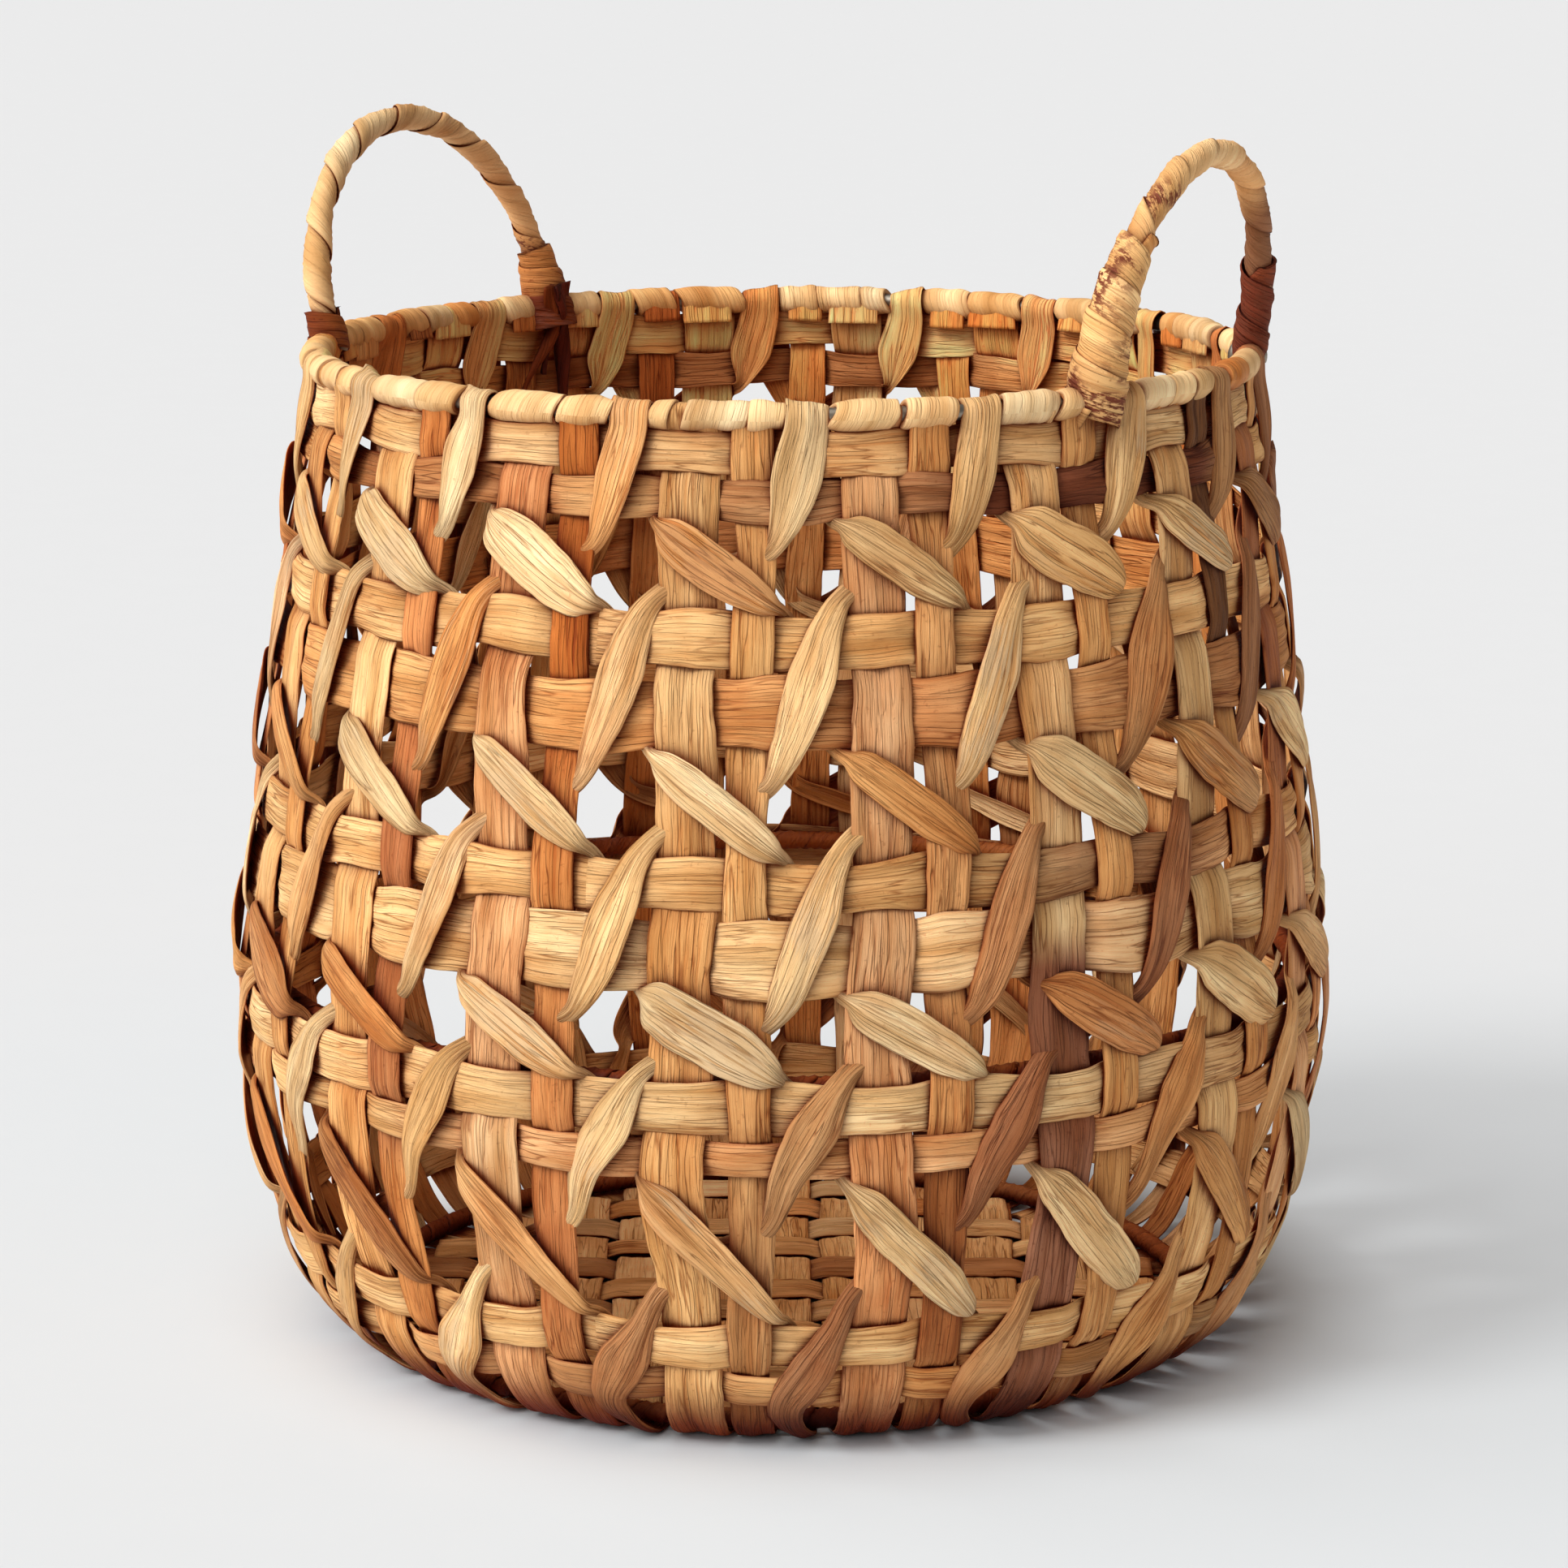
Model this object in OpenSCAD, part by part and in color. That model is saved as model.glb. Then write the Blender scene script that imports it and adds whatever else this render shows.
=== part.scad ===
// Round storage basket, hand-woven from flat leaf strips in the six-way pattern of
// chair caning, on three steel hoops, with two bound loop handles on the rim.
//
// The weave has four sets of strips. Upright stakes stand in pairs, each a wide one
// and a narrow one. Level bands run round the wall, also in pairs, and weave over and
// under the stakes. Slanting strips hang over the rim, one in each gap between pairs of
// stakes: one leg winds down to the left, over the bands and behind the stakes, and the
// other winds down to the right, over the stakes and behind the bands.
//
// Angles round the basket are measured from the front (-Y) towards the right (+X).
// "Lift" is the distance of a strip's middle from the wall's middle, positive outwards.

/* [Body] */
// Radius of the rim, to the middle of its wire
rim_r = 154.5; // [145:0.5:195]
// Height of the rim wire's middle above the floor
rim_z = 329.5; // [274.5:0.5:395]
// Radius of the wall where it is widest
belly_r = 182; // [165:0.5:220]
// Height of the widest place
belly_z = 124.5; // [100:1:150]
// Radius at which the wall meets the floor
base_r = 139.5; // [125:0.5:150]

/* [Strips] */
// Number of stake pairs round the basket
pairs = 18; // [14:1:18]
// Width of the wide stake in each pair
wide_w = 17; // [12:0.5:20.5]
// Width of the narrow stake in each pair
narrow_w = 12; // [8:0.5:14.5]
// Clear space between the two stakes of a pair, where they are closest
pair_gap = 1.9; // [1.5:0.1:4.5]
// Thickness of a strip
strip_t = 1.6; // [1.2:0.1:2]
// Clear space between two strips that cross
weave_gap = 0.3; // [0.2:0.05:0.5]
// Length of a stake's end inside the rim
tail_len = 26; // [15:1:40]
// Length of the ends that are tucked under the base
tuck_len = 12; // [6:0.5:13]

/* [Bands] */
// Width of the upper band in each pair, from the bottom pair to the top one
upper_w = [14.5, 15.5, 15, 16, 13];
// Width of the lower band in each pair, from the bottom pair to the top one
lower_w = [12.5, 11.5, 21.5, 20.5, 12];
// Clear space between the two bands of a pair, from the bottom pair to the top one
band_gap = [2.5, 2, 3.5, 4.5, 1.5];
// Place of each pair's middle between the bottom pair (0) and the top pair (1)
band_place = [0, 0.287, 0.512, 0.778, 1];
// Height of the bottom pair's middle above the floor
foot_rise = 31.5; // [26:0.5:40]
// Depth of the top pair's middle below the rim wire
rim_drop = 17.6; // [17:0.1:24]

/* [Slanting strips] */
// Width of a slanting strip where it shows
leaf_w = 14; // [10:0.5:15]
// Width of a slanting strip behind the others, and over the rim
back_w = 8; // [5:0.5:9]
// Width of a slanting strip where it dips between the others
pinch_w = 6; // [4:0.5:7]
// Angle that a slanting strip covers while it crosses a pair of bands
swing = 5; // [3:0.5:6]

/* [Hoops] */
// Diameter of the steel wire in the hoops
wire_d = 5; // [4:0.25:6]
// Thickness of the leaf binding on the rim and the base hoop
binding_t = 1.1; // [0.8:0.1:1.3]
// Thickness of the leaf binding on the belly hoop
belly_binding_t = 1.9; // [1:0.1:2.5]

/* [Handles] */
// Direction of each handle's middle, as an angle round the basket: right, then left
handle_at = [62.8, 236.9];
// Angle round the basket from one foot of a handle to the other
handle_span = 48; // [44:0.5:52]
// Diameter of the steel wire in the handles
core_d = 4; // [3:0.25:4.5]
// Outer diameter of the bound handle
handle_d = 8.8; // [7:0.1:10]
// Outer diameter of the binding at a handle's feet
foot_d = 13; // [11:0.5:16]
// Height of the straight legs below each handle's arch
leg_len = 10; // [8.5:0.5:60]
// Angle by which each handle leans outwards: right, then left
handle_lean = [9, 13.5];
// Angle round each end of the handle that its foot binding covers
foot_wrap_angle = 24; // [10:1:40]

/* [Base] */
// Width of a strip in the base mat
mat_w = 20; // [12:0.5:22]
// Distance from one strip in the mat to the next
mat_step = 24; // [23:0.5:30]

/* [Hidden] */
$fn = 48;
fit_gap = 0.1; // clear space between a wire and what is bound or hooked round it
foot_space = 0.3; // clear space between a handle's foot and the strips beside it
closest_r = min(base_r, rim_r);
stake_step = asin(wide_w / 2 / closest_r) + asin(narrow_w / 2 / closest_r)
    + asin(pair_gap / closest_r); // angle from the wide stake to the narrow one
pitch = strip_t + weave_gap;
weave_lift = pitch / 2;
slant_lift = 1.5 * pitch;
floor_z = strip_t / 2;
shoulder_power = 1.19;
foot_power = 0.53;
wire_r = wire_d / 2;
core_r = core_d / 2;
cell = 360 / pairs;
first_stake = -10;
rows = len(upper_w);
bottom_row = 0;
top_row = rows - 1;

// The wall: its radius, its slope and the way that it faces, at a height.
function wall_r(z) =
    z >= belly_z
        ? belly_r - (belly_r - rim_r) * pow((z - belly_z) / (rim_z - belly_z), shoulder_power)
        : base_r + (belly_r - base_r)
            * pow(max(0, 1 - pow((belly_z - z) / (belly_z - floor_z), 2)), foot_power);
function unit(v) = v / norm(v);
function facing(z) = let (h = 0.25)
    unit([2 * h, wall_r(max(floor_z, z - h)) - wall_r(z + h)]);
function wall_at(z, lift) = [wall_r(z), z] + lift * facing(z);

// A point (r, z) of the wall's section, and a direction there, turned to angle a.
function turned(p, a) = [p[0] * sin(a), -p[0] * cos(a), p[1]];

// The rows of bands: each pair's middle, and the edges of its two bands.
function row_z(row) = foot_rise + band_place[row] * (rim_z - rim_drop - foot_rise);
function row_h(row) = upper_w[row] + band_gap[row] + lower_w[row];
function row_top(row) = row_z(row) + row_h(row) / 2;
function row_bottom(row) = row_z(row) - row_h(row) / 2;
function upper_bottom(row) = row_top(row) - upper_w[row];
function lower_top(row) = row_bottom(row) + lower_w[row];

// Half the angle that a strip covers at a height.
function half_angle(w, z) = asin(w / 2 / wall_r(z));

// The handles' feet stand on the rim wire between two strips. A strip that would touch a
// foot is moved aside, away from it.
feet = [for (a = handle_at, end = [-1, 1]) a + end * handle_span / 2];
function turn_between(a, b) = (b - a + 540) % 360 - 180;
function nearest_foot(a) = let (d = [for (f = feet) turn_between(a, f)],
                                m = min([for (x = d) abs(x)]))
    [for (x = d) if (abs(x) == m) x][0];
function aside(a, w) = let (
        d = nearest_foot(((a % 360) + 360) % 360),
        need = half_angle(w, rim_z) + half_angle(core_d + 2 * foot_space, rim_z))
    (d > 0 ? -1 : 1) * max(0, need - abs(d));

// The stakes' angles, the middle of the gap between two pairs, and the place where a
// slanting strip hangs over the rim. A stake that moves towards its partner pushes it along.
function wide_aside(i) = aside(first_stake + i * cell, wide_w);
function narrow_aside(i) = aside(first_stake + i * cell + stake_step, narrow_w);
function wide_at(i) = first_stake + i * cell + wide_aside(i) + min(0, narrow_aside(i));
function narrow_at(i) = first_stake + i * cell + stake_step + narrow_aside(i)
    + max(0, wide_aside(i));
function gap_at(i, z) = (narrow_at(i) + half_angle(narrow_w, z)
    + wide_at(i + 1) - half_angle(wide_w, z)) / 2;
function over_at(i) = let (a = gap_at(i, row_z(top_row))) a + aside(a, back_w);

// A ribbon through middles, facing the given ways, as wide as given at each.
module ribbon(middles, ways, widths, closed = false) {
    n = len(middles);
    before = function(i) closed ? (i + n - 1) % n : max(i - 1, 0);
    after = function(i) closed ? (i + 1) % n : min(i + 1, n - 1);
    corners = [for (i = [0 : n - 1])
        let (side = unit(cross(middles[after(i)] - middles[before(i)], ways[i])) * widths[i] / 2,
             out = ways[i] * strip_t / 2)
        each [middles[i] + side + out, middles[i] - side + out,
              middles[i] - side - out, middles[i] + side - out]];
    skin = [for (i = [0 : closed ? n - 1 : n - 2], k = [0 : 3])
        let (a = 4 * i, b = 4 * after(i), m = (k + 1) % 4)
        each [[a + k, b + k, b + m], [a + k, b + m, a + m]]];
    ends = closed ? [] : [[0, 1, 2, 3], [4 * n - 1, 4 * n - 2, 4 * n - 3, 4 * n - 4]];
    polyhedron(corners, concat(skin, ends), convexity = 10);
}

// One band: over the wide stakes and under the narrow ones, or the other way about.
module band(z, w, over_wide) {
    lift = over_wide ? weave_lift : -weave_lift;
    stops = [for (i = [0 : pairs - 1], stake = [0, 1])
        let (middle = stake == 0 ? wide_at(i) : narrow_at(i),
             half = half_angle(stake == 0 ? wide_w : narrow_w, z),
             at = wall_at(z, stake == 0 ? lift : -lift))
        each [for (side = [-1, 1]) [middle + side * half, [at[0] / cos(half), at[1]]]]];
    color("burlywood")
        ribbon([for (s = stops) turned(s[1], s[0])],
               [for (s = stops) turned(facing(z), s[0])],
               [for (s = stops) w], closed = true);
}

module upper_band(row) band(row_top(row) - upper_w[row] / 2, upper_w[row], true);
module lower_band(row) band(row_bottom(row) + lower_w[row] / 2, lower_w[row], false);

// The way over the rim wire, from the inside to the outside, at a strip's middle.
edge_sag = rim_r - sqrt(rim_r * rim_r - wide_w * wide_w / 4); // a flat strip's, on the ring
loop_r = wire_r + fit_gap + strip_t / 2 + edge_sag;
loop_end = -40;
function loop_at(t) = [rim_r + loop_r * cos(t), rim_z + loop_r * sin(t)];

// A stake's section, as [middle, way it faces]: from the end of its tail inside the rim,
// over the wire, down the wall in and out of the bands, and under the base.
function stake_line(over_upper) = let (lift = over_upper ? weave_lift : -weave_lift) concat(
    [[[rim_r - loop_r, rim_z - tail_len], [-1, 0]]],
    [for (t = [180 : -20 : loop_end]) [loop_at(t), [cos(t), sin(t)]]],
    [for (row = [top_row : -1 : bottom_row]) each concat(
        [for (z = [row_top(row), upper_bottom(row)]) [wall_at(z, lift), facing(z)]],
        [for (z = [lower_top(row), row_bottom(row)]) [wall_at(z, -lift), facing(z)]],
        row == bottom_row ? [] : [for (f = [0.25, 0.5, 0.75])
            let (z = row_bottom(row) * (1 - f) + row_top(row - 1) * f)
            [wall_at(z, lift * (2 * f - 1)), facing(z)]])],
    [for (f = [0.6, 0.3, 0.12])
        let (z = floor_z + (row_bottom(bottom_row) - floor_z) * f)
        [wall_at(z, -lift * f), facing(z)]],
    [for (r = [base_r, base_r - tuck_len]) [[r, floor_z], [0, -1]]]);

module stake(a, w, over_upper) {
    line = stake_line(over_upper);
    outer = [for (p = line) p[0] + p[1] * strip_t / 2];
    inner = [for (i = [len(line) - 1 : -1 : 0]) line[i][0] - line[i][1] * strip_t / 2];
    rotate([0, 0, a - 90]) rotate([90, 0, 0])
        linear_extrude(height = w, center = true) polygon(concat(outer, inner));
}

module stake_pair(i) {
    color("tan") stake(wide_at(i), wide_w, false);
    color("peru") stake(narrow_at(i), narrow_w, true);
}

// One leg of a slanting strip, from the rim down. dir is -1 to wind left, over the bands
// and behind the stakes, and 1 to wind right, behind the bands and over the stakes.
// Each stop is [angle, height, lift, width].
function leg_stops(i, dir) = let (shown_w = dir < 0 ? leaf_w : back_w,
                                  stake_w = dir < 0 ? back_w : leaf_w)
    [for (row = [top_row : -1 : bottom_row]) let (
            i_gap = i + dir * (top_row - row),
            a = gap_at(i_gap, row_z(row)),
            start = row == top_row ? over_at(i_gap) : a - dir * swing / 2,
            end = a + dir * swing / 2)
        each concat(
            [[start, row_top(row), -dir * slant_lift, row == top_row ? back_w : pinch_w],
             [(start + end) / 2, row_z(row), -dir * slant_lift, shown_w],
             [end, row_bottom(row), -dir * slant_lift, pinch_w]],
            row == bottom_row ? [] : let (
                next = gap_at(i_gap + dir, row_z(row - 1)) - dir * swing / 2,
                edge = (cell - 2 * half_gap(row)) / 2,
                middle = (end + next) / 2,
                share = edge / abs(next - end))
            [for (f = [-share, 0, share])
                [middle + dir * f * abs(next - end),
                 row_bottom(row) + (0.5 + f) * (row_top(row - 1) - row_bottom(row)),
                 dir * slant_lift, f == 0 ? stake_w : pinch_w]])];
function half_gap(row) = let (z = (row_bottom(row) + row_top(row - 1)) / 2)
    (cell - stake_step - half_angle(wide_w, z) - half_angle(narrow_w, z)) / 2;

function stop_middle(s) = turned(wall_at(s[1], s[2]), s[0]);
function stop_way(s) = turned(facing(s[1]), s[0]);
function backwards(v) = [for (i = [len(v) - 1 : -1 : 0]) v[i]];

module slanting_strip(i) {
    left = leg_stops(i, -1);
    right = leg_stops(i, 1);
    over = over_at(i);
    loop = [for (t = [0 : 30 : 180]) t];
    foot_a = gap_at(i - top_row, row_bottom(bottom_row));
    foot_low = [[foot_a - swing / 3, floor_z + 6], [foot_a, floor_z + 1.5]];
    under = [for (r = [base_r - tuck_len, base_r - 1]) [r, floor_z]];
    color("wheat") ribbon(
        concat([for (p = under) turned(p, foot_a)],
               [for (p = backwards(foot_low)) turned(wall_at(p[1], weave_lift), p[0])],
               [for (s = backwards(left)) stop_middle(s)],
               [for (t = loop) turned(loop_at(t), over)],
               [for (s = right) stop_middle(s)]),
        concat([for (p = under) [0, 0, -1]],
               [for (p = backwards(foot_low)) turned(facing(p[1]), p[0])],
               [for (s = backwards(left)) stop_way(s)],
               [for (t = loop) turned([cos(t), sin(t)], over)],
               [for (s = right) -stop_way(s)]),
        concat([for (p = under) back_w],
               [for (p = foot_low) back_w],
               [for (s = backwards(left)) s[3]],
               [for (t = loop) back_w],
               [for (s = right) s[3]]));
}

// A hoop of wire, and a leaf binding on it from angle a to angle b.
module hoop(r, z, d) translate([0, 0, z]) rotate_extrude() translate([r, 0]) circle(d = d);
module bore_ring(inner_r, outer_r) difference() {
    circle(r = outer_r);
    circle(r = inner_r);
}
module binding(r, z, t, a, b)
    translate([0, 0, z]) rotate([0, 0, a - 90]) rotate_extrude(angle = b - a)
        translate([r, 0]) bore_ring(wire_r + fit_gap, wire_r + fit_gap + t);

module rim_wire() color("dimgray") hoop(rim_r, rim_z, wire_d);

// The rim is bound wherever no strip passes over it and no handle stands on it.
binding_space = 0.2;
function has_foot(a, b) = len([for (f = feet)
    if (turn_between(a, f) > -1 && turn_between(f, b) > -1
        && abs(turn_between(a, f)) < 20) f]) > 0;
module rim_binding() color("burlywood")
    for (i = [0 : pairs - 1]) let (
            wide_half = half_angle(wide_w, rim_z),
            narrow_half = half_angle(narrow_w, rim_z),
            over_half = half_angle(back_w, rim_z),
            spans = [[wide_at(i) + wide_half, narrow_at(i) - narrow_half],
                     [narrow_at(i) + narrow_half, over_at(i) - over_half],
                     [over_at(i) + over_half, wide_at(i + 1) - wide_half]])
        for (s = spans)
            if (!has_foot(s[0], s[1]) && s[1] - s[0] > 2 * binding_space)
                binding(rim_r, rim_z, binding_t, s[0] + binding_space, s[1] - binding_space);

belly_hoop_r = wall_r(belly_z) - slant_lift - strip_t / 2 - weave_gap
    - wire_r - fit_gap - belly_binding_t;
module belly_hoop_wire() color("dimgray") hoop(belly_hoop_r, belly_z, wire_d);
module belly_hoop_binding() color("sienna")
    binding(belly_hoop_r, belly_z, belly_binding_t, 0, 360);

base_hoop_z = strip_t + weave_gap + wire_r + fit_gap + binding_t;
base_hoop_r = base_r;
module base_hoop_wire() color("dimgray") hoop(base_hoop_r, base_hoop_z, wire_d);
module base_hoop_binding() color("burlywood")
    binding(base_hoop_r, base_hoop_z, binding_t, 0, 360);

// The base mat: two sets of strips in a plain weave, inside the base hoop.
mat_r = base_hoop_r - wire_r - fit_gap - binding_t - weave_gap;
mat_z = strip_t + weave_gap + weave_lift + strip_t / 2;
mat_side = floor((mat_r - mat_w / 2) / mat_step);
module mat_strip(k, lift) {
    reach = sqrt(pow(mat_r, 2) - pow(abs(k) * mat_step + mat_w / 2, 2));
    crossings = [for (j = [-mat_side : mat_side])
        if (abs(j) * mat_step + mat_w / 2 < reach) j];
    line = concat([[-reach, 0]],
        [for (j = crossings, side = [-1, 1])
            [j * mat_step + side * mat_w / 2, (j + k) % 2 == 0 ? lift : -lift]],
        [[reach, 0]]);
    translate([0, k * mat_step, mat_z]) rotate([90, 0, 0])
        linear_extrude(height = mat_w, center = true)
            polygon(concat([for (p = line) p + [0, strip_t / 2]],
                           [for (p = backwards(line)) p - [0, strip_t / 2]]));
}
module base_strips_across() color("tan")
    for (k = [-mat_side : mat_side]) mat_strip(k, weave_lift);
module base_strips_along() color("peru")
    rotate([0, 0, 90]) for (k = [-mat_side : mat_side]) mat_strip(k, -weave_lift);

// The handles. Each is an arch on two short legs, in a plane that leans outwards.
handle_half = handle_span / 2;
arch_r = rim_r * sin(handle_half);
saddle_r = wire_r + fit_gap + core_r;
saddle_angle = 220;
wrap_start = saddle_r + core_r + 1;

// Puts what stands on the chord between two feet in its place. side is 0 or 1.
module on_rim(side) rotate([0, 0, handle_at[side]])
    translate([0, -rim_r * cos(handle_half), rim_z]) rotate([handle_lean[side], 0, 0])
        children();

module core_saddle(a) rotate([0, 0, a]) translate([0, -rim_r, rim_z])
    rotate([0, 90, 0]) rotate([0, 0, 180 - saddle_angle / 2])
        rotate_extrude(angle = saddle_angle) translate([saddle_r, 0]) circle(r = core_r);

module handle_core(side) color("dimgray") {
    on_rim(side) {
        translate([0, 0, leg_len]) rotate([90, 0, 0]) rotate_extrude(angle = 180)
            translate([arch_r, 0]) circle(r = core_r);
        for (x = [-arch_r, arch_r])
            translate([x, 0, saddle_r]) cylinder(h = leg_len - saddle_r, r = core_r);
    }
    for (end = [-1, 1]) core_saddle(handle_at[side] + end * handle_half);
}

// A binding over the first part of the arch, as far as angle a, and over the leg below it.
module leg_binding(inner_r, outer_r, a) {
    translate([0, 0, leg_len]) rotate([90, 0, 0]) rotate_extrude(angle = a)
        translate([arch_r, 0]) bore_ring(inner_r, outer_r);
    translate([arch_r, 0, wrap_start]) linear_extrude(height = leg_len - wrap_start)
        bore_ring(inner_r, outer_r);
}

module handle_binding(side) color("burlywood") on_rim(side) for (end = [0, 1])
    mirror([end, 0, 0]) leg_binding(core_r + fit_gap, handle_d / 2, 90);

module foot_binding(side) color("saddlebrown") on_rim(side) for (end = [0, 1])
    mirror([end, 0, 0]) leg_binding(handle_d / 2 + fit_gap, foot_d / 2, foot_wrap_angle);

// Names of the nodes, with two figures so that they sort in order.
function numbered(name, i) = str(name, i < 9 ? "0" : "", i + 1);
row_names = ["bottom", "lower", "middle", "upper", "top"];

for (i = [0 : pairs - 1]) {
    stake_pair(i);
    slanting_strip(i);
}
for (row = [bottom_row : top_row]) {
    upper_band(row);
    lower_band(row);
}
rim_wire();
rim_binding();
belly_hoop_wire();
belly_hoop_binding();
base_hoop_wire();
base_hoop_binding();
base_strips_across();
base_strips_along();
handle_core(0);  // right_handle_core
handle_binding(0);  // right_handle_binding
foot_binding(0);  // right_handle_foot_binding
handle_core(1);  // left_handle_core
handle_binding(1);  // left_handle_binding
foot_binding(1);  // left_handle_foot_binding
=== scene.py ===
"""The woven basket's looks: every leaf strip as a ribbon with folds, ribs and grain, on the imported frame."""
import math

import bpy
import numpy as np
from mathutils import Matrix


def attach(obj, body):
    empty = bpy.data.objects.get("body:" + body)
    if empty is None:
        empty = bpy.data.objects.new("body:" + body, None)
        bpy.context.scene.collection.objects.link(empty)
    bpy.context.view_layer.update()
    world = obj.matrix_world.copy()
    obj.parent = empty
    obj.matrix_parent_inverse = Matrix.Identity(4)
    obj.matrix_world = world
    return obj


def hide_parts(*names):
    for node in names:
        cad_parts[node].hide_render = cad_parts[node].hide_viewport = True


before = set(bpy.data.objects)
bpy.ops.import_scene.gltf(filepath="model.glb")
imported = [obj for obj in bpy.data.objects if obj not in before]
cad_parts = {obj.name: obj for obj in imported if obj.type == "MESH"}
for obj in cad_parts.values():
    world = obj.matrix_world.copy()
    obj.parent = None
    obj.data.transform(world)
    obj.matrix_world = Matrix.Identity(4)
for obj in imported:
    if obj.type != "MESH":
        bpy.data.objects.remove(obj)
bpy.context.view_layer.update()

# ---- sizes in millimetres and degrees, the same as in the CAD source -------------------

RIM_R, RIM_Z, BELLY_R, BELLY_Z, BASE_R = 154.5, 329.5, 182.0, 124.5, 139.5
PAIRS, CELL, STEP, FIRST = 18, 20.0, 6.739, -10.0
WIDE_W, NARROW_W = 17.0, 12.0
# rows of two bands, from the bottom: widths of the high and the low band, gap, place up the wall
UPPER_W = [14.5, 15.5, 15, 16, 13]
LOWER_W = [12.5, 11.5, 21.5, 20.5, 12]
BAND_GAP = [2.5, 2, 3.5, 4.5, 1.5]
PLACE = [0, 0.287, 0.512, 0.778, 1]
FOOT_RISE, RIM_DROP = 31.5, 17.6
STRIP_T, WEAVE_GAP = 1.6, 0.3
PITCH = STRIP_T + WEAVE_GAP
LIFT, SLANT = PITCH / 2, 1.5 * PITCH
FLOOR_Z = STRIP_T / 2
SWING = 5.0
WIRE_R, LOOP_R, WIRE_SPACE = 2.5, 3.63, 0.1
BINDING_T, BELLY_BINDING_T = 1.1, 1.9
TUCK = 12.0
ROWS = 5
MAT_W, MAT_STEP = 20.0, 24.0
HANDLE_AT, HANDLE_HALF, CORE_R, LEG = [62.8, 236.9], 24.0, 2.0, 10.0
LEAN = [math.radians(9), math.radians(13.5)]
FOOT_SPACE = 0.3
FEET = [a + sign * HANDLE_HALF for a in HANDLE_AT for sign in (-1, 1)]

# sizes of the looks alone
OVER_R, OVER_W = 4.3, 13.0  # a slanting strip's loop over the rim: radius and width
SLEEVE_R, SLEEVE_HOLE = 4.35, 2.65  # a rim sleeve's radius, and its open ends round the wire
CORE_LEAF_R = 2.85  # inside radius of a handle's wound leaf
FULL_TURN = 6.283

# ---- the wall ---------------------------------------------------------------------------


def wall_r(z):
    """The wall's radius at a height."""
    z = np.asarray(z, float)
    up = BELLY_R - (BELLY_R - RIM_R) * np.clip((z - BELLY_Z) / (RIM_Z - BELLY_Z), 0, None) ** 1.19
    low = np.clip(1 - ((BELLY_Z - z) / (BELLY_Z - FLOOR_Z)) ** 2, 0, None) ** 0.53
    return np.where(z >= BELLY_Z, up, BASE_R + (BELLY_R - BASE_R) * low)


def facing(z):
    """The way the wall faces at a height: outwards, and up or down."""
    z = np.asarray(z, float)
    h = 0.25
    n = np.stack([np.full_like(z, 2 * h), wall_r(np.maximum(FLOOR_Z, z - h)) - wall_r(z + h)], -1)
    return n / np.linalg.norm(n, axis=-1, keepdims=True)


def turned(rz, a):
    """Points (radius, height) turned to an angle from the front, towards +X."""
    a = np.radians(a)
    return np.stack([rz[..., 0] * np.sin(a), -rz[..., 0] * np.cos(a), rz[..., 1]], -1)


def wall_at(z, lift):
    """Points (radius, height) that stand a lift off the wall."""
    z = np.asarray(z, float)
    return np.stack([wall_r(z), z], -1) + np.asarray(lift)[..., None] * facing(z)


row_z = [FOOT_RISE + p * (RIM_Z - RIM_DROP - FOOT_RISE) for p in PLACE]
row_h = [UPPER_W[i] + BAND_GAP[i] + LOWER_W[i] for i in range(ROWS)]
row_top = [row_z[i] + row_h[i] / 2 for i in range(ROWS)]
row_bottom = [row_z[i] - row_h[i] / 2 for i in range(ROWS)]


def half_angle(w, z):
    """Half the angle that a strip of this width takes up at a height."""
    return math.degrees(math.asin(w / 2 / float(wall_r(z))))


def turn_between(a, b):
    return (b - a + 540) % 360 - 180


def aside(a, w):
    """How far a strip moves so that it doesn't touch the nearest foot of a handle."""
    d = min((turn_between(a, f) for f in FEET), key=abs)
    need = half_angle(w, RIM_Z) + half_angle(2 * (CORE_R + FOOT_SPACE), RIM_Z)
    return (-1 if d > 0 else 1) * max(0.0, need - abs(d))


def wide_at(i):
    a = FIRST + i * CELL
    return a + aside(a, WIDE_W) + min(0.0, aside(a + STEP, NARROW_W))


def narrow_at(i):
    a = FIRST + i * CELL
    return a + STEP + aside(a + STEP, NARROW_W) + max(0.0, aside(a, WIDE_W))


def gap_at(i, z):
    """The middle of the open space after a pair of stakes, where the slanting strips cross."""
    return FIRST + (i + 0.5) * CELL + (STEP + half_angle(NARROW_W, z) - half_angle(WIDE_W, z)) / 2


def over_at(i):
    """Where a slanting strip goes over the rim."""
    a = gap_at(i, row_z[-1])
    return a + aside(a, 8)


# ---- small numeric helpers -------------------------------------------------------------


def rng_of(*key):
    seed = 0
    for k in key:
        seed = (seed * 1009 + int(k) + 17) % (2**31)
    return np.random.default_rng(seed)


def wob(u, rng, amp, low, high, n=5):
    """A smooth random line along u with wavelengths from low to high."""
    out = np.zeros_like(u)
    for _ in range(n):
        out += np.sin(2 * np.pi * u / rng.uniform(low, high) + rng.uniform(0, FULL_TURN))
    return amp * out / math.sqrt(n / 2)


def ring_wob(a, rng, amp, low, high, n=5):
    """The same round a closed strip: whole waves in 360 degrees."""
    out = np.zeros_like(a)
    for _ in range(n):
        out += np.sin(np.radians(a) * rng.integers(low, high) + rng.uniform(0, FULL_TURN))
    return amp * out / math.sqrt(n / 2)


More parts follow.
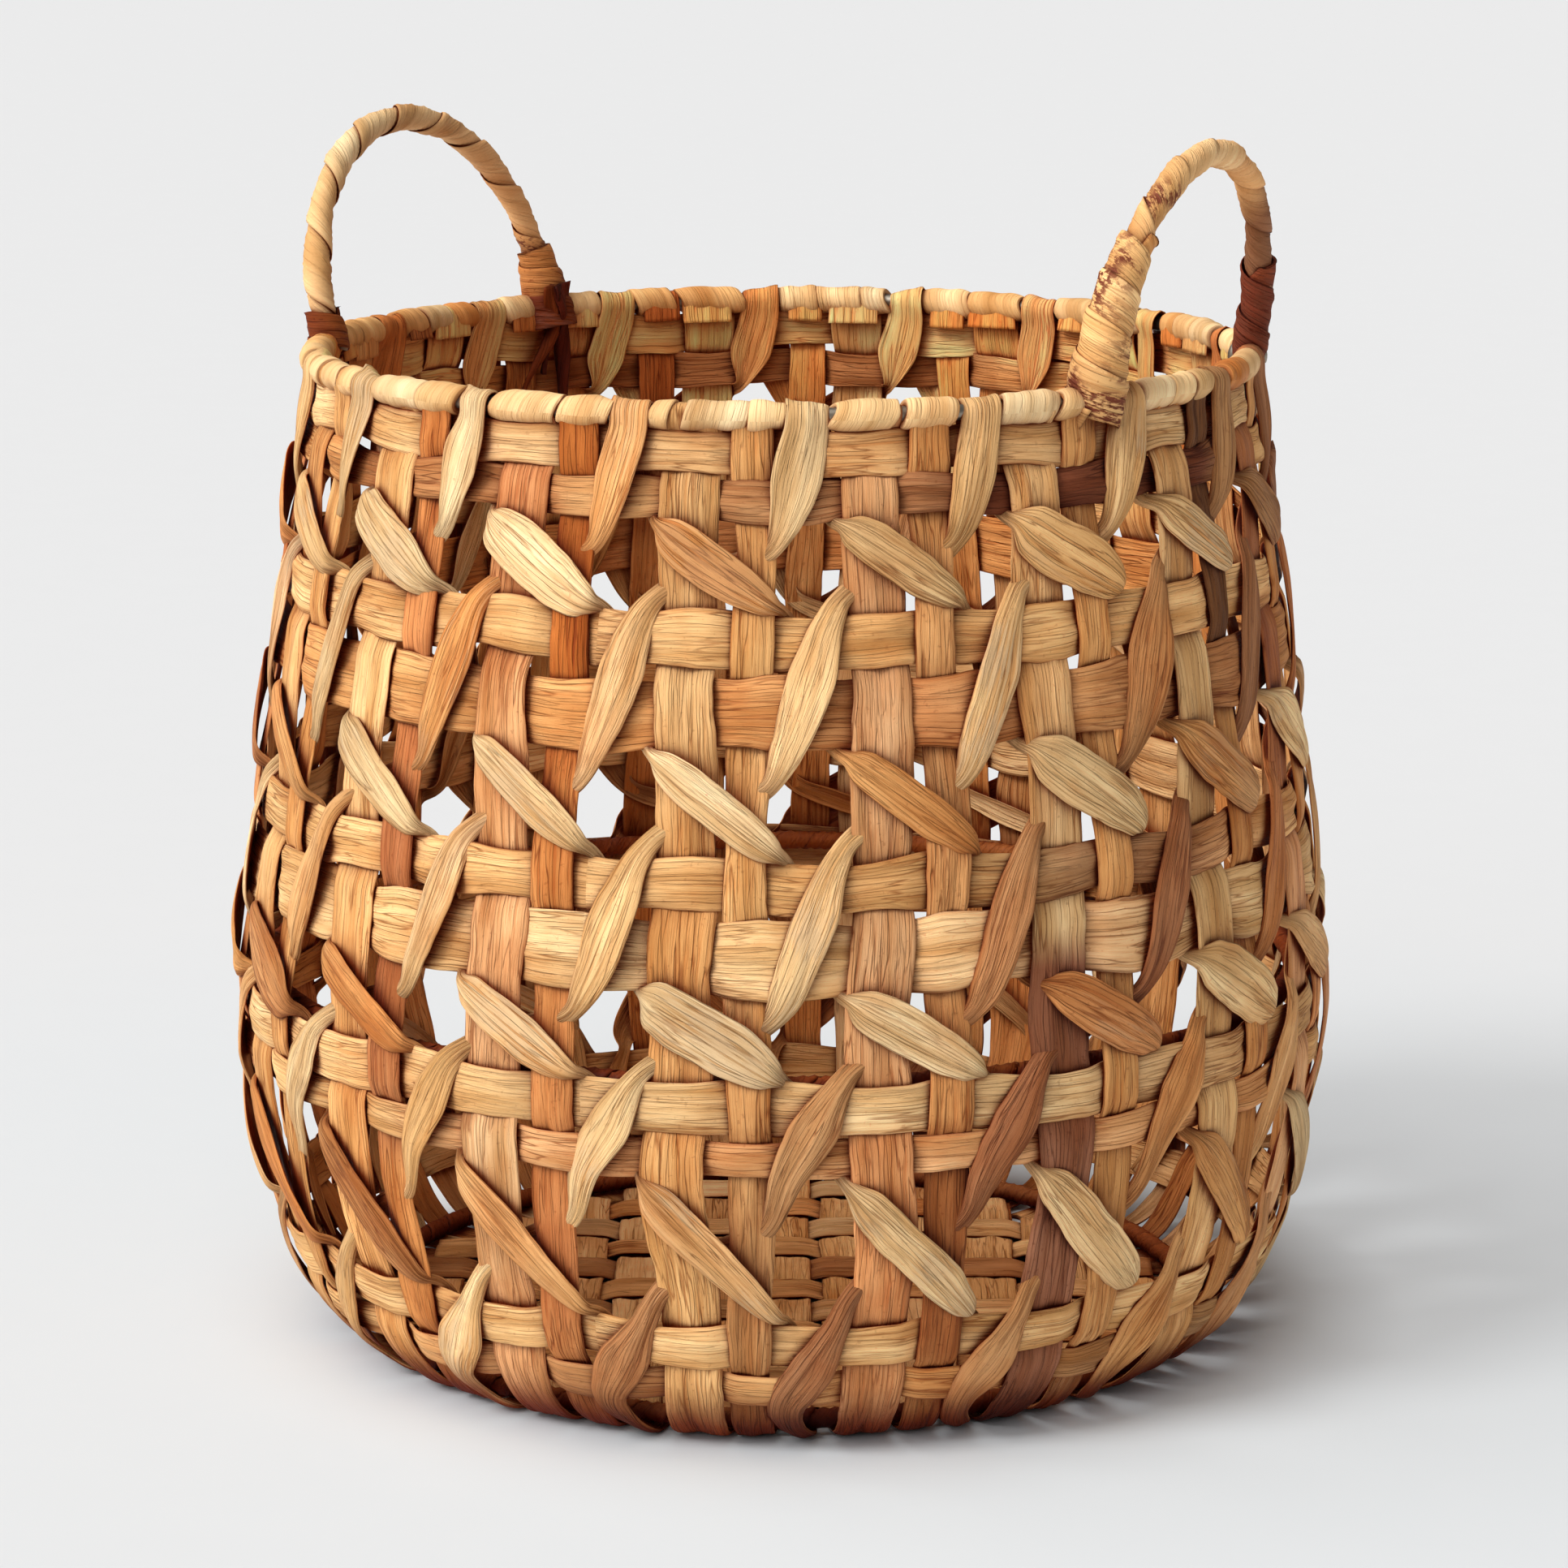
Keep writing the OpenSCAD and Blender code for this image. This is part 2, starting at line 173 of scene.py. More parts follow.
def blur(x, sigma, closed=False):
    """A Gaussian blur down the rows; closed wraps round."""
    n = int(max(1, round(sigma * 3)))
    k = np.exp(-0.5 * (np.arange(-n, n + 1) / sigma) ** 2)
    k /= k.sum()
    mode = "wrap" if closed else "edge"
    pad = np.pad(x, [(n, n)] + [(0, 0)] * (x.ndim - 1), mode=mode)
    if x.ndim == 1:
        return np.convolve(pad, k, "valid")
    return np.stack([np.convolve(pad[:, j], k, "valid") for j in range(x.shape[1])], -1)


def pchip(xk, yk, x):
    """A smooth line through the points that never overshoots them."""
    xk, yk = np.asarray(xk, float), np.asarray(yk, float)
    h, d = np.diff(xk), np.diff(yk) / np.diff(xk)
    m = np.zeros_like(yk)
    m[0], m[-1] = d[0], d[-1]
    w1, w2 = 2 * h[1:] + h[:-1], h[1:] + 2 * h[:-1]
    same = d[1:] * d[:-1] > 0
    safe = np.where(same, d[1:], 1), np.where(same, d[:-1], 1)
    m[1:-1] = np.where(same, (w1 + w2) / (w1 / safe[1] + w2 / safe[0]), 0)
    i = np.clip(np.searchsorted(xk, x) - 1, 0, len(xk) - 2)
    t = (x - xk[i]) / h[i]
    return ((1 + 2 * t) * (1 - t) ** 2 * yk[i] + t * (1 - t) ** 2 * h[i] * m[i]
            + t * t * (3 - 2 * t) * yk[i + 1] + t * t * (t - 1) * h[i] * m[i + 1])


def resample(points, extra, step):
    """The line at even steps, with what goes along with it."""
    seg = np.linalg.norm(np.diff(points, axis=0), axis=1)
    s = np.concatenate([[0], np.cumsum(seg)])
    n = max(3, int(round(s[-1] / step)) + 1)
    t = np.linspace(0, s[-1], n)
    both = np.concatenate([points, extra], 1)
    return np.stack([np.interp(t, s, both[:, j]) for j in range(both.shape[1])], -1)


def unit(v):
    return v / np.maximum(np.linalg.norm(v, axis=-1, keepdims=True), 1e-9)


# ---- colours ---------------------------------------------------------------------------


def lin(r, g, b):
    c = np.array([r, g, b], float) / 255
    return np.where(c <= 0.04045, c / 12.92, ((c + 0.055) / 1.055) ** 2.4)


STRAW, GOLD, TAN = lin(251, 221, 174), lin(246, 204, 148), lin(232, 173, 112)
AMBER, BROWN, RED = lin(208, 136, 74), lin(160, 90, 48), lin(122, 55, 35)
PINK, PALE, ROSE = lin(236, 180, 138), lin(249, 226, 186), lin(170, 102, 78)
DARK, PLUM = lin(86, 38, 24), lin(148, 84, 70)


def tones(u, rng, palette, weights, spread=0.07, low=70, high=160):
    """A colour for each ring: a few tones along the strip, melting into one another."""
    n = max(2, int(u[-1] / rng.uniform(low, high)) + 2)
    keys = [palette[rng.choice(len(palette), p=weights)] for _ in range(n)]
    base = palette[rng.choice(len(palette), p=weights)]
    keys = [0.45 * k + 0.55 * base for k in keys]
    keys = np.array(keys) * (1 + rng.normal(0, spread, (n, 1)))
    x = np.linspace(0, u[-1], n)
    return np.stack([np.interp(u, x, keys[:, j]) for j in range(3)], -1)


# ---- meshes ----------------------------------------------------------------------------


class Build:
    """Gathers closed skins of quads, with a grain map in metres and a colour at each ring."""

    def __init__(self):
        self.v, self.f, self.uv, self.c, self.n = [], [], [], [], 0

    def skin(self, rings, u, across, colour, closed=False, pale=0.0, cap=True):
        """rings is (n, m, 3); u is (n,) along; across is (n, m + 1), unrolled round the ring."""
        n, m = rings.shape[:2]
        i = np.arange(n if closed else n - 1)
        k = np.arange(m)
        a = i[:, None] * m + k
        b = i[:, None] * m + (k + 1) % m
        c = ((i[:, None] + 1) % n) * m + (k + 1) % m
        d = ((i[:, None] + 1) % n) * m + k
        self.f.append((np.stack([a, b, c, d], -1) + self.n).reshape(-1, 4))
        uu = np.concatenate([u, [u[-1] + (u[-1] - u[-2])]])
        va = np.concatenate([across, across[:1]])
        i2, k2 = i[:, None], k[None, :]
        uv = np.stack([
            np.stack([uu[i2] + 0 * k2, va[i2, k2]], -1),
            np.stack([uu[i2] + 0 * k2, va[i2, k2 + 1]], -1),
            np.stack([uu[i2 + 1] + 0 * k2, va[i2 + 1, k2 + 1]], -1),
            np.stack([uu[i2 + 1] + 0 * k2, va[i2 + 1, k2]], -1)], 2)
        self.uv.append(uv.reshape(-1, 2))
        if cap and not closed:
            half = m // 2
            for start in (0, (n - 1) * m):
                q = []
                for j in range(half - 1):
                    quad = [j, m - 1 - j, m - 2 - j, j + 1]
                    q.append(quad if start == 0 else quad[::-1])
                q = np.array(q)
                self.f.append(q + start + self.n)
                ring = 0 if start == 0 else n - 1
                self.uv.append(np.stack([np.full(q.shape, u[ring]), across[ring][q]], -1).reshape(-1, 2))
        self.v.append(rings.reshape(-1, 3))
        colour = np.broadcast_to(colour, (n, 3))
        rgba = np.concatenate([colour, np.broadcast_to(np.asarray(pale, float).reshape(-1, 1), (n, 1))], 1)
        self.c.append(np.repeat(rgba, m, 0))
        self.n += n * m

    def finish(self, name, node, material):
        v = np.concatenate(self.v) / 1000
        f = np.concatenate(self.f)
        uv = np.concatenate(self.uv) / 1000
        c = np.concatenate(self.c)
        mesh = bpy.data.meshes.new(name)
        mesh.vertices.add(len(v))
        mesh.vertices.foreach_set("co", v.astype(np.float32).ravel())
        mesh.loops.add(f.size)
        mesh.loops.foreach_set("vertex_index", f.astype(np.int32).ravel())
        mesh.polygons.add(len(f))
        mesh.polygons.foreach_set("loop_start", np.arange(0, f.size, 4, dtype=np.int32))
        mesh.update(calc_edges=True)
        mesh.validate()
        layer = mesh.uv_layers.new(name="grain")
        layer.data.foreach_set("uv", uv.astype(np.float32).ravel())
        attribute = mesh.color_attributes.new(name="leaf", type="FLOAT_COLOR", domain="POINT")
        attribute.data.foreach_set("color", c.astype(np.float32).ravel())
        mesh.polygons.foreach_set("use_smooth", np.ones(len(f), bool))
        mesh.materials.append(material)
        o = bpy.data.objects.new(name, mesh)
        bpy.context.scene.collection.objects.link(o)
        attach(o, "root")
        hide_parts(node)
        return o


def strip(build, mid, nrm, width, rng, colour, thick=1.15, bow=0.35, rib=0.2, twist=0.0, k=11,
          closed=False, pale=0.0, ragged=0.05, floor=None):
    """One leaf ribbon round its middle line. bow curls its edges back, rib raises its fibres."""
    n = len(mid)
    tangent = unit(np.roll(mid, -1, 0) - np.roll(mid, 1, 0)) if closed else unit(np.gradient(mid, axis=0))
    side = unit(np.cross(tangent, nrm))
    out = np.cross(side, tangent)
    seg = np.linalg.norm(np.diff(mid, axis=0), axis=1)
    u = np.concatenate([[0], np.cumsum(seg)])
    v = np.sin(np.linspace(-1, 1, k) * math.pi / 2) * 0.6 + np.linspace(-1, 1, k) * 0.4
    left = width / 2 * (1 + wob(u, rng, ragged, 30, 110) + wob(u, rng, ragged * 0.18, 8, 18))
    right = width / 2 * (1 + wob(u, rng, ragged, 30, 110) + wob(u, rng, ragged * 0.18, 8, 18))
    if closed:
        fade = np.clip(np.minimum(u, u[-1] - u) / 30, 0, 1)
        left, right = [width / 2 + (w - width / 2) * fade for w in (left, right)]
    x = np.where(v < 0, v * left[:, None], v * right[:, None])
    h = np.zeros((n, k))
    fade = np.clip(np.minimum(u, u[-1] - u) / 20, 0, 1)[:, None] if closed else 1.0
    for _ in range(8):
        lx = rng.uniform(3.5, 16)
        waves = u[:, None] / rng.uniform(35, 150) * rng.choice([-1, 1]) + x / lx
        h += rib * 0.13 * lx ** 0.7 * np.sin(2 * np.pi * waves + rng.uniform(0, FULL_TURN))
    fold = 0.3 * rng.uniform(0.2, 1, 2)
    h += fold[0] * np.exp(-(((v + 0.84) / 0.12) ** 2)) + fold[1] * np.exp(-(((v - 0.84) / 0.12) ** 2))
    h = h * fade - np.asarray(bow).reshape(-1, 1) * v ** 2 + x * np.tan(np.asarray(twist)).reshape(-1, 1)
    e = thick / 2 * np.maximum(0.3, np.sqrt(np.clip(1 - np.abs(v) ** 7, 0, 1)))
    top = mid[:, None] + side[:, None] * x[..., None] + out[:, None] * (h + e)[..., None]
    low = mid[:, None] + side[:, None] * x[..., None] + out[:, None] * (h - e)[..., None]
    rings = np.concatenate([top, low[:, ::-1]], 1)
    if floor is not None:
        rings[..., 2] = np.maximum(rings[..., 2], floor)
    flat = np.broadcast_to(v * float(np.max(width)) / 2, x.shape)  # the grain follows the edges
    across = np.concatenate([flat, (2 * flat[:, -1:] - flat)[:, ::-1], flat[:, :1] + 4 * flat[:, -1:]], 1)
    build.skin(rings, u + rng.uniform(0, 4000), across + rng.uniform(0, 4000), colour, closed, pale)


# ---- stakes ----------------------------------------------------------------------------


def stake(build, a, w, over_upper, rng, colour, tail):
    """An upright strip: a tail inside the rim, a loop over the wire, the wall, and a tuck under the base."""
    lift = LIFT if over_upper else -LIFT
    zs, ls = [], []
    for row in range(ROWS - 1, -1, -1):
        for z in (row_top[row], row_top[row] - UPPER_W[row]):
            zs.append(z), ls.append(lift)
        for z in (row_bottom[row] + LOWER_W[row], row_bottom[row]):
            zs.append(z), ls.append(-lift)
    zs.append(FLOOR_Z + 3), ls.append(0)
    z = np.linspace(RIM_Z - 3, FLOOR_Z, 330)
    level = blur(np.interp(-z, -np.array(zs), ls), 2.2)
    bulge = 1 + 0.45 * np.abs(level / LIFT)
    wall = wall_at(z, level * bulge)
    t = np.radians(np.arange(180, -41, -10))
    head = [[RIM_R - LOOP_R - rng.uniform(0, 1.5), RIM_Z - tail], [RIM_R - LOOP_R - 0.6, RIM_Z - tail / 2]]
    loop = np.stack([RIM_R + LOOP_R * np.cos(t), RIM_Z + LOOP_R * np.sin(t)], -1)
    under = [[BASE_R - 1, FLOOR_Z], [BASE_R - TUCK, FLOOR_Z]]
    line = np.concatenate([head, loop, wall[z < RIM_Z - 5], under])
    line = resample(line, np.zeros((len(line), 1)), 0.8)[:, :2]
    line = blur(line, 1.4)[::2]
    d = unit(np.gradient(line, axis=0))
    n2 = np.stack([-d[:, 1], d[:, 0]], -1)  # outwards on the wall, where the line runs down
    u = np.concatenate([[0], np.cumsum(np.linalg.norm(np.diff(line, axis=0), axis=1))])
    ang = a + np.degrees(wob(u, rng, 0.8, 70, 260) / 170) * np.clip((RIM_Z + 10 - line[:, 1]) / 60, 0, 1)
    mid = turned(line, ang)
    nrm = turned(n2, ang)
    zz = line[:, 1]
    widen = 1.07 + 0.12 * np.exp(-(((zz - 120) / 95) ** 2)) - 0.06 * np.clip((40 - zz) / 40, 0, 1)
    c = colour(u, zz)
    strip(build, mid, nrm, w * widen, rng, c,
          thick=1.2, bow=0.6, rib=0.19, ragged=0.05, floor=0.05, k=13)


# ---- bands -----------------------------------------------------------------------------


def band(build, z, w, over_wide, rng, colour):
    """A level strip right round the wall, in front of one stake of each pair and behind the other."""
    lift = LIFT if over_wide else -LIFT
    angles, lifts = [], []
    for i in range(-1, PAIRS + 1):
        for at, stake_w, way in ((wide_at(i), WIDE_W, lift), (narrow_at(i), NARROW_W, -lift)):
            half = half_angle(stake_w, z)
            angles += [at - half, at + half]
            lifts += [way, way]
    n = 620
    a = np.linspace(-20, 340, n, endpoint=False)
    level = blur(np.interp(a, angles, lifts), 1.3, True)
    level = level * (1 + 0.5 * np.abs(level / LIFT))
    zz = z + ring_wob(a, rng, 0.65, 3, 18)
    mid = turned(wall_at(zz, level), a)
    nrm = turned(facing(zz), a)
    width = w * (1.06 + ring_wob(a, rng, 0.045, 5, 40) + 0.05 * np.cos(np.radians(a * PAIRS)))
    u = np.radians(a - a[0]) * float(wall_r(z))
    strip(build, mid, nrm, width, rng, colour(u, a),
          thick=1.15, bow=0.7, rib=0.19, ragged=0.035, closed=True, k=15)


# ---- slanting strips -------------------------------------------------------------------


# the pointed leaf between two rows, on the leg that runs down to the right: (share of the way, of the width)
LEAF_SHAPE = ((0.08, 0.44), (0.2, 0.86), (0.4, 1.0), (0.66, 0.98), (0.84, 0.76), (0.94, 0.5))


def half_gap(row):
    """Half the open angle between two pairs of stakes, midway between this row and the one below."""
    z = (row_bottom[row] + row_top[row - 1]) / 2
    return (CELL - STEP - half_angle(WIDE_W, z) - half_angle(NARROW_W, z)) / 2


def leg(i, d, rng):
    """Stops (angle, height, lift, width) down one leg: d is -1 over the bands, 1 over the stakes."""
    stops = []
    for row in range(ROWS - 1, -1, -1):
        i_gap = i + d * (ROWS - 1 - row)
        g = gap_at(i_gap, row_z[row])
        top = row == ROWS - 1
        a0, a1 = over_at(i) if top else g - d * SWING / 2, g + d * SWING / 2
        full = 15 + rng.uniform(-2, 1.5) if d < 0 else (15 if top else 9)
        rim = 13 if d < 0 else 14
        stops.append([a0, row_top[row], -d * SLANT, rim if top else (8.5 if d < 0 else 4)])
        stops.append([(a0 + a1) / 2, row_z[row], -d * (SLANT + (0.5 if d < 0 else 0)), full])
        stops.append([a1, row_bottom[row], -d * SLANT, 11 if d < 0 else 4])
        if row == 0:
            continue
        g2 = gap_at(i_gap + d, row_z[row - 1])
        b0 = g2 - d * SWING / 2
        hg = half_gap(row)
        drop = row_bottom[row] - row_top[row - 1]
        if d < 0:
            stops.append([g + d * hg, row_bottom[row] - 0.33 * drop, SLANT * 0.1, 6.5])
            stops.append([(g + g2) / 2, row_bottom[row] - 0.55 * drop, -SLANT, 8])
            stops.append([g2 - d * hg, row_top[row - 1] + 0.2 * drop, -SLANT * 0.1, 6.5])
        else:
            big, peak = 15.6 + rng.uniform(-3, 3.2), rng.uniform(0.46, 0.54)
            ja, jz = rng.normal(0, 0.55), rng.normal(0, 1.3)
            for t, share in LEAF_SHAPE:
                tt = t + (peak - 0.5) * 4 * t * (1 - t)
                a_leaf = a1 + tt * (b0 - a1) + ja * share
                z_leaf = row_bottom[row] - tt * drop + jz * share
                stops.append([a_leaf, z_leaf, SLANT + 1.3 * share, big * share])
    return np.array(stops)


def along(stops, step=1.2):
    """The stops as a smooth, dense line: middles, the way they face, and widths."""
    p = turned(wall_at(stops[:, 1], stops[:, 2]), stops[:, 0])
    s = np.concatenate([[0], np.cumsum(np.linalg.norm(np.diff(p, axis=0), axis=1))])
    t = np.linspace(0, s[-1], int(s[-1] / step) + 2)
    a, z, l, w = [pchip(s, stops[:, j], t) for j in range(4)]
    return turned(wall_at(z, l), a), turned(facing(z), a), w


def slanting(build, i, rng, colour, pale):
    """A strip that hangs over the rim, with a leg down to each side."""
    left, right = leg(i, -1, rng), leg(i, 1, rng)
    over = over_at(i)
    foot_a = gap_at(i - (ROWS - 1), row_bottom[0])
    foot = np.array([[foot_a - SWING / 3, FLOOR_Z + 6, LIFT, 9], [foot_a, FLOOR_Z + 1.5, LIFT, 8]])
    lm, ln, lw = along(np.concatenate([left, foot]))
    rm, rn, rw = along(right)
    t = np.radians(np.arange(0, 181, 12))
    lp = turned(np.stack([RIM_R + OVER_R * np.cos(t), RIM_Z + OVER_R * np.sin(t)], -1), over)
    lo = turned(np.stack([np.cos(t), np.sin(t)], -1), over)
    under = turned(np.array([[BASE_R - TUCK, FLOOR_Z], [BASE_R - 1, FLOOR_Z]]), foot_a)
    mid = np.concatenate([under, lm[::-1], lp, rm])
    nrm = np.concatenate([[[0, 0, -1], [0, 0, -1]], ln[::-1], lo, -rn])
    wid = np.concatenate([[8, 8], lw[::-1], np.full(len(t), OVER_W), rw])
    sgn = np.concatenate([np.ones(2 + len(lm) + len(t) // 2), -np.ones(len(t) - len(t) // 2 + len(rm))])
    both = resample(mid, np.concatenate([nrm, wid[:, None], sgn[:, None]], 1), 1.5)
    both[:, :6] = blur(both[:, :6], 1.6)
    mid, nrm, wid, sgn = both[:, :3], unit(both[:, 3:6]), both[:, 6], both[:, 7]
    u = np.arange(len(mid)) * 1.5
    pinch = np.clip((13 - wid) / 7, 0, 1)
    twist = np.radians(wob(u, rng, 6, 60, 160)) + sgn * np.radians(5)
    strip(build, mid, nrm, wid, rng, colour(u), thick=1.1, bow=sgn * (0.55 + 1.1 * pinch), rib=0.13,
          twist=twist, k=15, pale=pale, ragged=0.05, floor=0.05)


# ---- bindings --------------------------------------------------------------------------


def helix(build, path, n1, n2, s, r0, pitch, rng, colour, thick=0.9, overlap=1.25, k=11, hand=1,
          rib=0.15, step=2.0, shingle=0.9, closed=False, stains=()):
    """A leaf wound round a path. r0 is a function of s, the inner radius of the winding."""
    length = s[-1]
    r_mean = float(np.mean(r0(s)))
    c = 2 * math.pi * r_mean
    diag = math.hypot(c, pitch)
    total = length * diag / pitch
    n = int(total / step)
    uu = np.linspace(0, total, n)
    w = c * pitch / diag * overlap
    v = np.sin(np.linspace(-1, 1, k) * math.pi / 2) * 0.5 + np.linspace(-1, 1, k) * 0.5
    vv = v * w / 2 * (1 + wob(uu, rng, 0.05, 20, 70))[:, None]
    phi = hand * (uu[:, None] * c / diag - vv * pitch / diag) / r_mean
    ss = uu[:, None] * pitch / diag + vv * c / diag
    ss = ss % length if closed else np.clip(ss, 0, length)
    h = shingle * (v + 1) / 2 * np.ones((n, 1))
    for _ in range(6):
        lx = rng.uniform(1.5, 6)
        waves = uu[:, None] / rng.uniform(25, 90) + vv / lx
        h = h + rib * 0.2 * lx ** 0.6 * np.sin(2 * np.pi * waves + rng.uniform(0, FULL_TURN))
    e = thick / 2 * np.maximum(0.3, np.sqrt(np.clip(1 - np.abs(v) ** 7, 0, 1)))

    def place(radius):
        at = np.stack([np.interp(ss, s, path[:, j]) for j in range(3)], -1)
        a = np.stack([np.interp(ss, s, n1[:, j]) for j in range(3)], -1)
        b = np.stack([np.interp(ss, s, n2[:, j]) for j in range(3)], -1)
        return at + radius[..., None] * (np.cos(phi)[..., None] * a + np.sin(phi)[..., None] * b)

    base = r0(ss) + thick / 2 + h
    top, low = place(base + e), place(base - e)
    if hand > 0:
        rings = np.concatenate([top, low[:, ::-1]], 1)[:, ::-1]
    else:
        rings = np.concatenate([top, low[:, ::-1]], 1)
    ww = vv[:, -1:] - vv[:, :1]
    across = np.concatenate([vv, (2 * vv[:, -1:] - vv)[:, ::-1], vv[:, :1] + 2 * ww], 1)
    if hand > 0:
        across = across[:, ::-1]
    stain = np.zeros(n)
    for x0, x1 in stains:
        stain = np.maximum(stain, np.clip(np.minimum(ss.mean(1) - x0, x1 - ss.mean(1)) / 4 + 0.5, 0, 1))
    build.skin(rings, uu + rng.uniform(0, 4000), across + rng.uniform(0, 4000), colour(uu), pale=stain)


def ring_path(r, z, n=720):
    """A level circle as a path to wind on: points, two directions across it, and length along it."""
    a = np.linspace(0, 360, n + 1)
    p = turned(np.stack([np.full_like(a, r), np.full_like(a, z)], -1), a)
    n1 = turned(np.stack([np.ones_like(a), np.zeros_like(a)], -1), a)
    n2 = np.broadcast_to([0.0, 0.0, 1.0], p.shape)
    return p, n1, n2, np.radians(a) * r


def sleeve(build, a0, a1, rng, colour):
    """A short leaf wound round the rim wire, over the stakes that loop round it."""
    span = math.radians(a1 - a0) * RIM_R
    if span < 1.2:
        return
    m = 32
    s = np.linspace(0, span, max(5, int(span / 0.7)))
    n = len(s)
    phi = np.linspace(0, 2 * math.pi, m, endpoint=False)
    under = np.zeros(n)
    for i in range(PAIRS):
        for at, w in ((wide_at(i), WIDE_W), (narrow_at(i), NARROW_W)):
            d = np.abs([turn_between(at, x) for x in a0 + np.degrees(s / RIM_R)])
            under = np.maximum(under, np.clip((half_angle(w, RIM_Z) + 0.5 - d) / 0.7, 0, 1))
    r = SLEEVE_R + rng.uniform(-0.1, 0.25) + 0.65 * blur(under, 2.5)[:, None]
    r = r + wob(s, rng, 0.16, 6, 18)[:, None]
    r = r + 0.14 * np.sin(2 * phi + rng.uniform(0, 6))
    r = r + 0.05 * np.sin(phi * 5 + s[:, None] / rng.uniform(2, 5))
    r = r - 0.4 * np.exp(-s[:, None] / 0.7) - 0.4 * np.exp(-(s[-1] - s[:, None]) / 0.7)
    lean = rng.uniform(0.4, 2.2) * np.sin(phi + rng.uniform(-0.6, 0.6))
    ss = np.clip(s[:, None] + lean, -1.2, span + 1.2)
    r = np.concatenate([np.full((1, m), SLEEVE_HOLE), r, np.full((1, m), SLEEVE_HOLE)])
    ss = np.concatenate([ss[:1], ss, ss[-1:]])
    a = a0 + np.degrees(ss / RIM_R)
    rz = np.stack([RIM_R + r * np.cos(phi), RIM_Z + r * np.sin(phi)], -1)
    rings = turned(rz, a)[:, ::-1]
    u = np.arange(m + 1) * (4.5 * 2 * math.pi / m)
    ru, rv = rng.uniform(0, 4000, 2)
    # the grain runs round the wire, so the map's two directions change places
    n2 = len(ss)
    i, k = np.arange(n2 - 1)[:, None], np.arange(m)[None, :]
    after = (k + 1) % m
    f = np.stack([i * m + k, i * m + after, (i + 1) * m + after, (i + 1) * m + k], -1) + build.n
    along_s = np.concatenate([[s[0] - 1.5], s, [s[-1] + 1.5]])
    uv = np.stack([
        np.stack([u[k] + 0 * i, along_s[i] + 0 * k], -1),
        np.stack([u[k + 1] + 0 * i, along_s[i] + 0 * k], -1),
        np.stack([u[k + 1] + 0 * i, along_s[i + 1] + 0 * k], -1),
        np.stack([u[k] + 0 * i, along_s[i + 1] + 0 * k], -1)], 2)
    build.f.append(f.reshape(-1, 4))
    build.uv.append(uv.reshape(-1, 2) + [ru, rv])
    build.v.append(rings.reshape(-1, 3))
    build.c.append(np.tile(np.concatenate([colour, [0.0]]), (n2 * m, 1)))
    build.n += n2 * m


# ---- materials -------------------------------------------------------------------------


class Nodes:
    """A material and short ways to add to its node tree."""

    def __init__(self, name):
        self.m = bpy.data.materials.new(name)
        self.m.use_nodes = True
        self.t = self.m.node_tree
        self.t.nodes.clear()

    def add(self, kind, **values):
        """_name sets an attribute of the node; i0, i1 and so on are sockets by number, the rest by name."""
        node = self.t.nodes.new("ShaderNode" + kind)
        for key, value in values.items():
            if key.startswith("_"):
                setattr(node, key[1:], value)
        for key, value in values.items():
            if key.startswith("_"):
                continue
            by_number = key[0] == "i" and key[1:].isdigit()
            socket = node.inputs[int(key[1:]) if by_number else key.replace("__", " ")]
            if isinstance(value, bpy.types.NodeSocket):
                self.t.links.new(value, socket)
            else:
                socket.default_value = value
        return node

    def math(self, op, a, b=0.0, clamp=False):
        return self.add("Math", _operation=op, _use_clamp=clamp, i0=a, i1=b).outputs[0]

    def ramp(self, value, stops):
        node = self.add("ValToRGB", Fac=value)
        e = node.color_ramp.elements
        while len(e) < len(stops):
            e.new(0.5)
        for el, (pos, g) in zip(e, stops):
            el.position = pos
            el.color = (g, g, g, 1)
        return node.outputs[0]

    def mix(self, fac, a, b, blend="MIX", clamp=False):
        node = self.add("Mix", _data_type="RGBA", _blend_type=blend, _clamp_result=clamp)
        for socket, value in ((node.inputs[0], fac), (node.inputs[6], a), (node.inputs[7], b)):
            if isinstance(value, bpy.types.NodeSocket):
                self.t.links.new(value, socket)
            else:
                socket.default_value = value
        return node.outputs[2]

    def tint(self, colour, r, g, b, clamp=False):
        return self.mix(1.0, colour, (r, g, b, 1), "MULTIPLY", clamp)

    def without(self, mask, *shares):
        """How far the mask is off, times each share."""
        value = self.math("SUBTRACT", 1.0, mask)
        for share in shares:
            value = self.math("MULTIPLY", value, share)
        return value


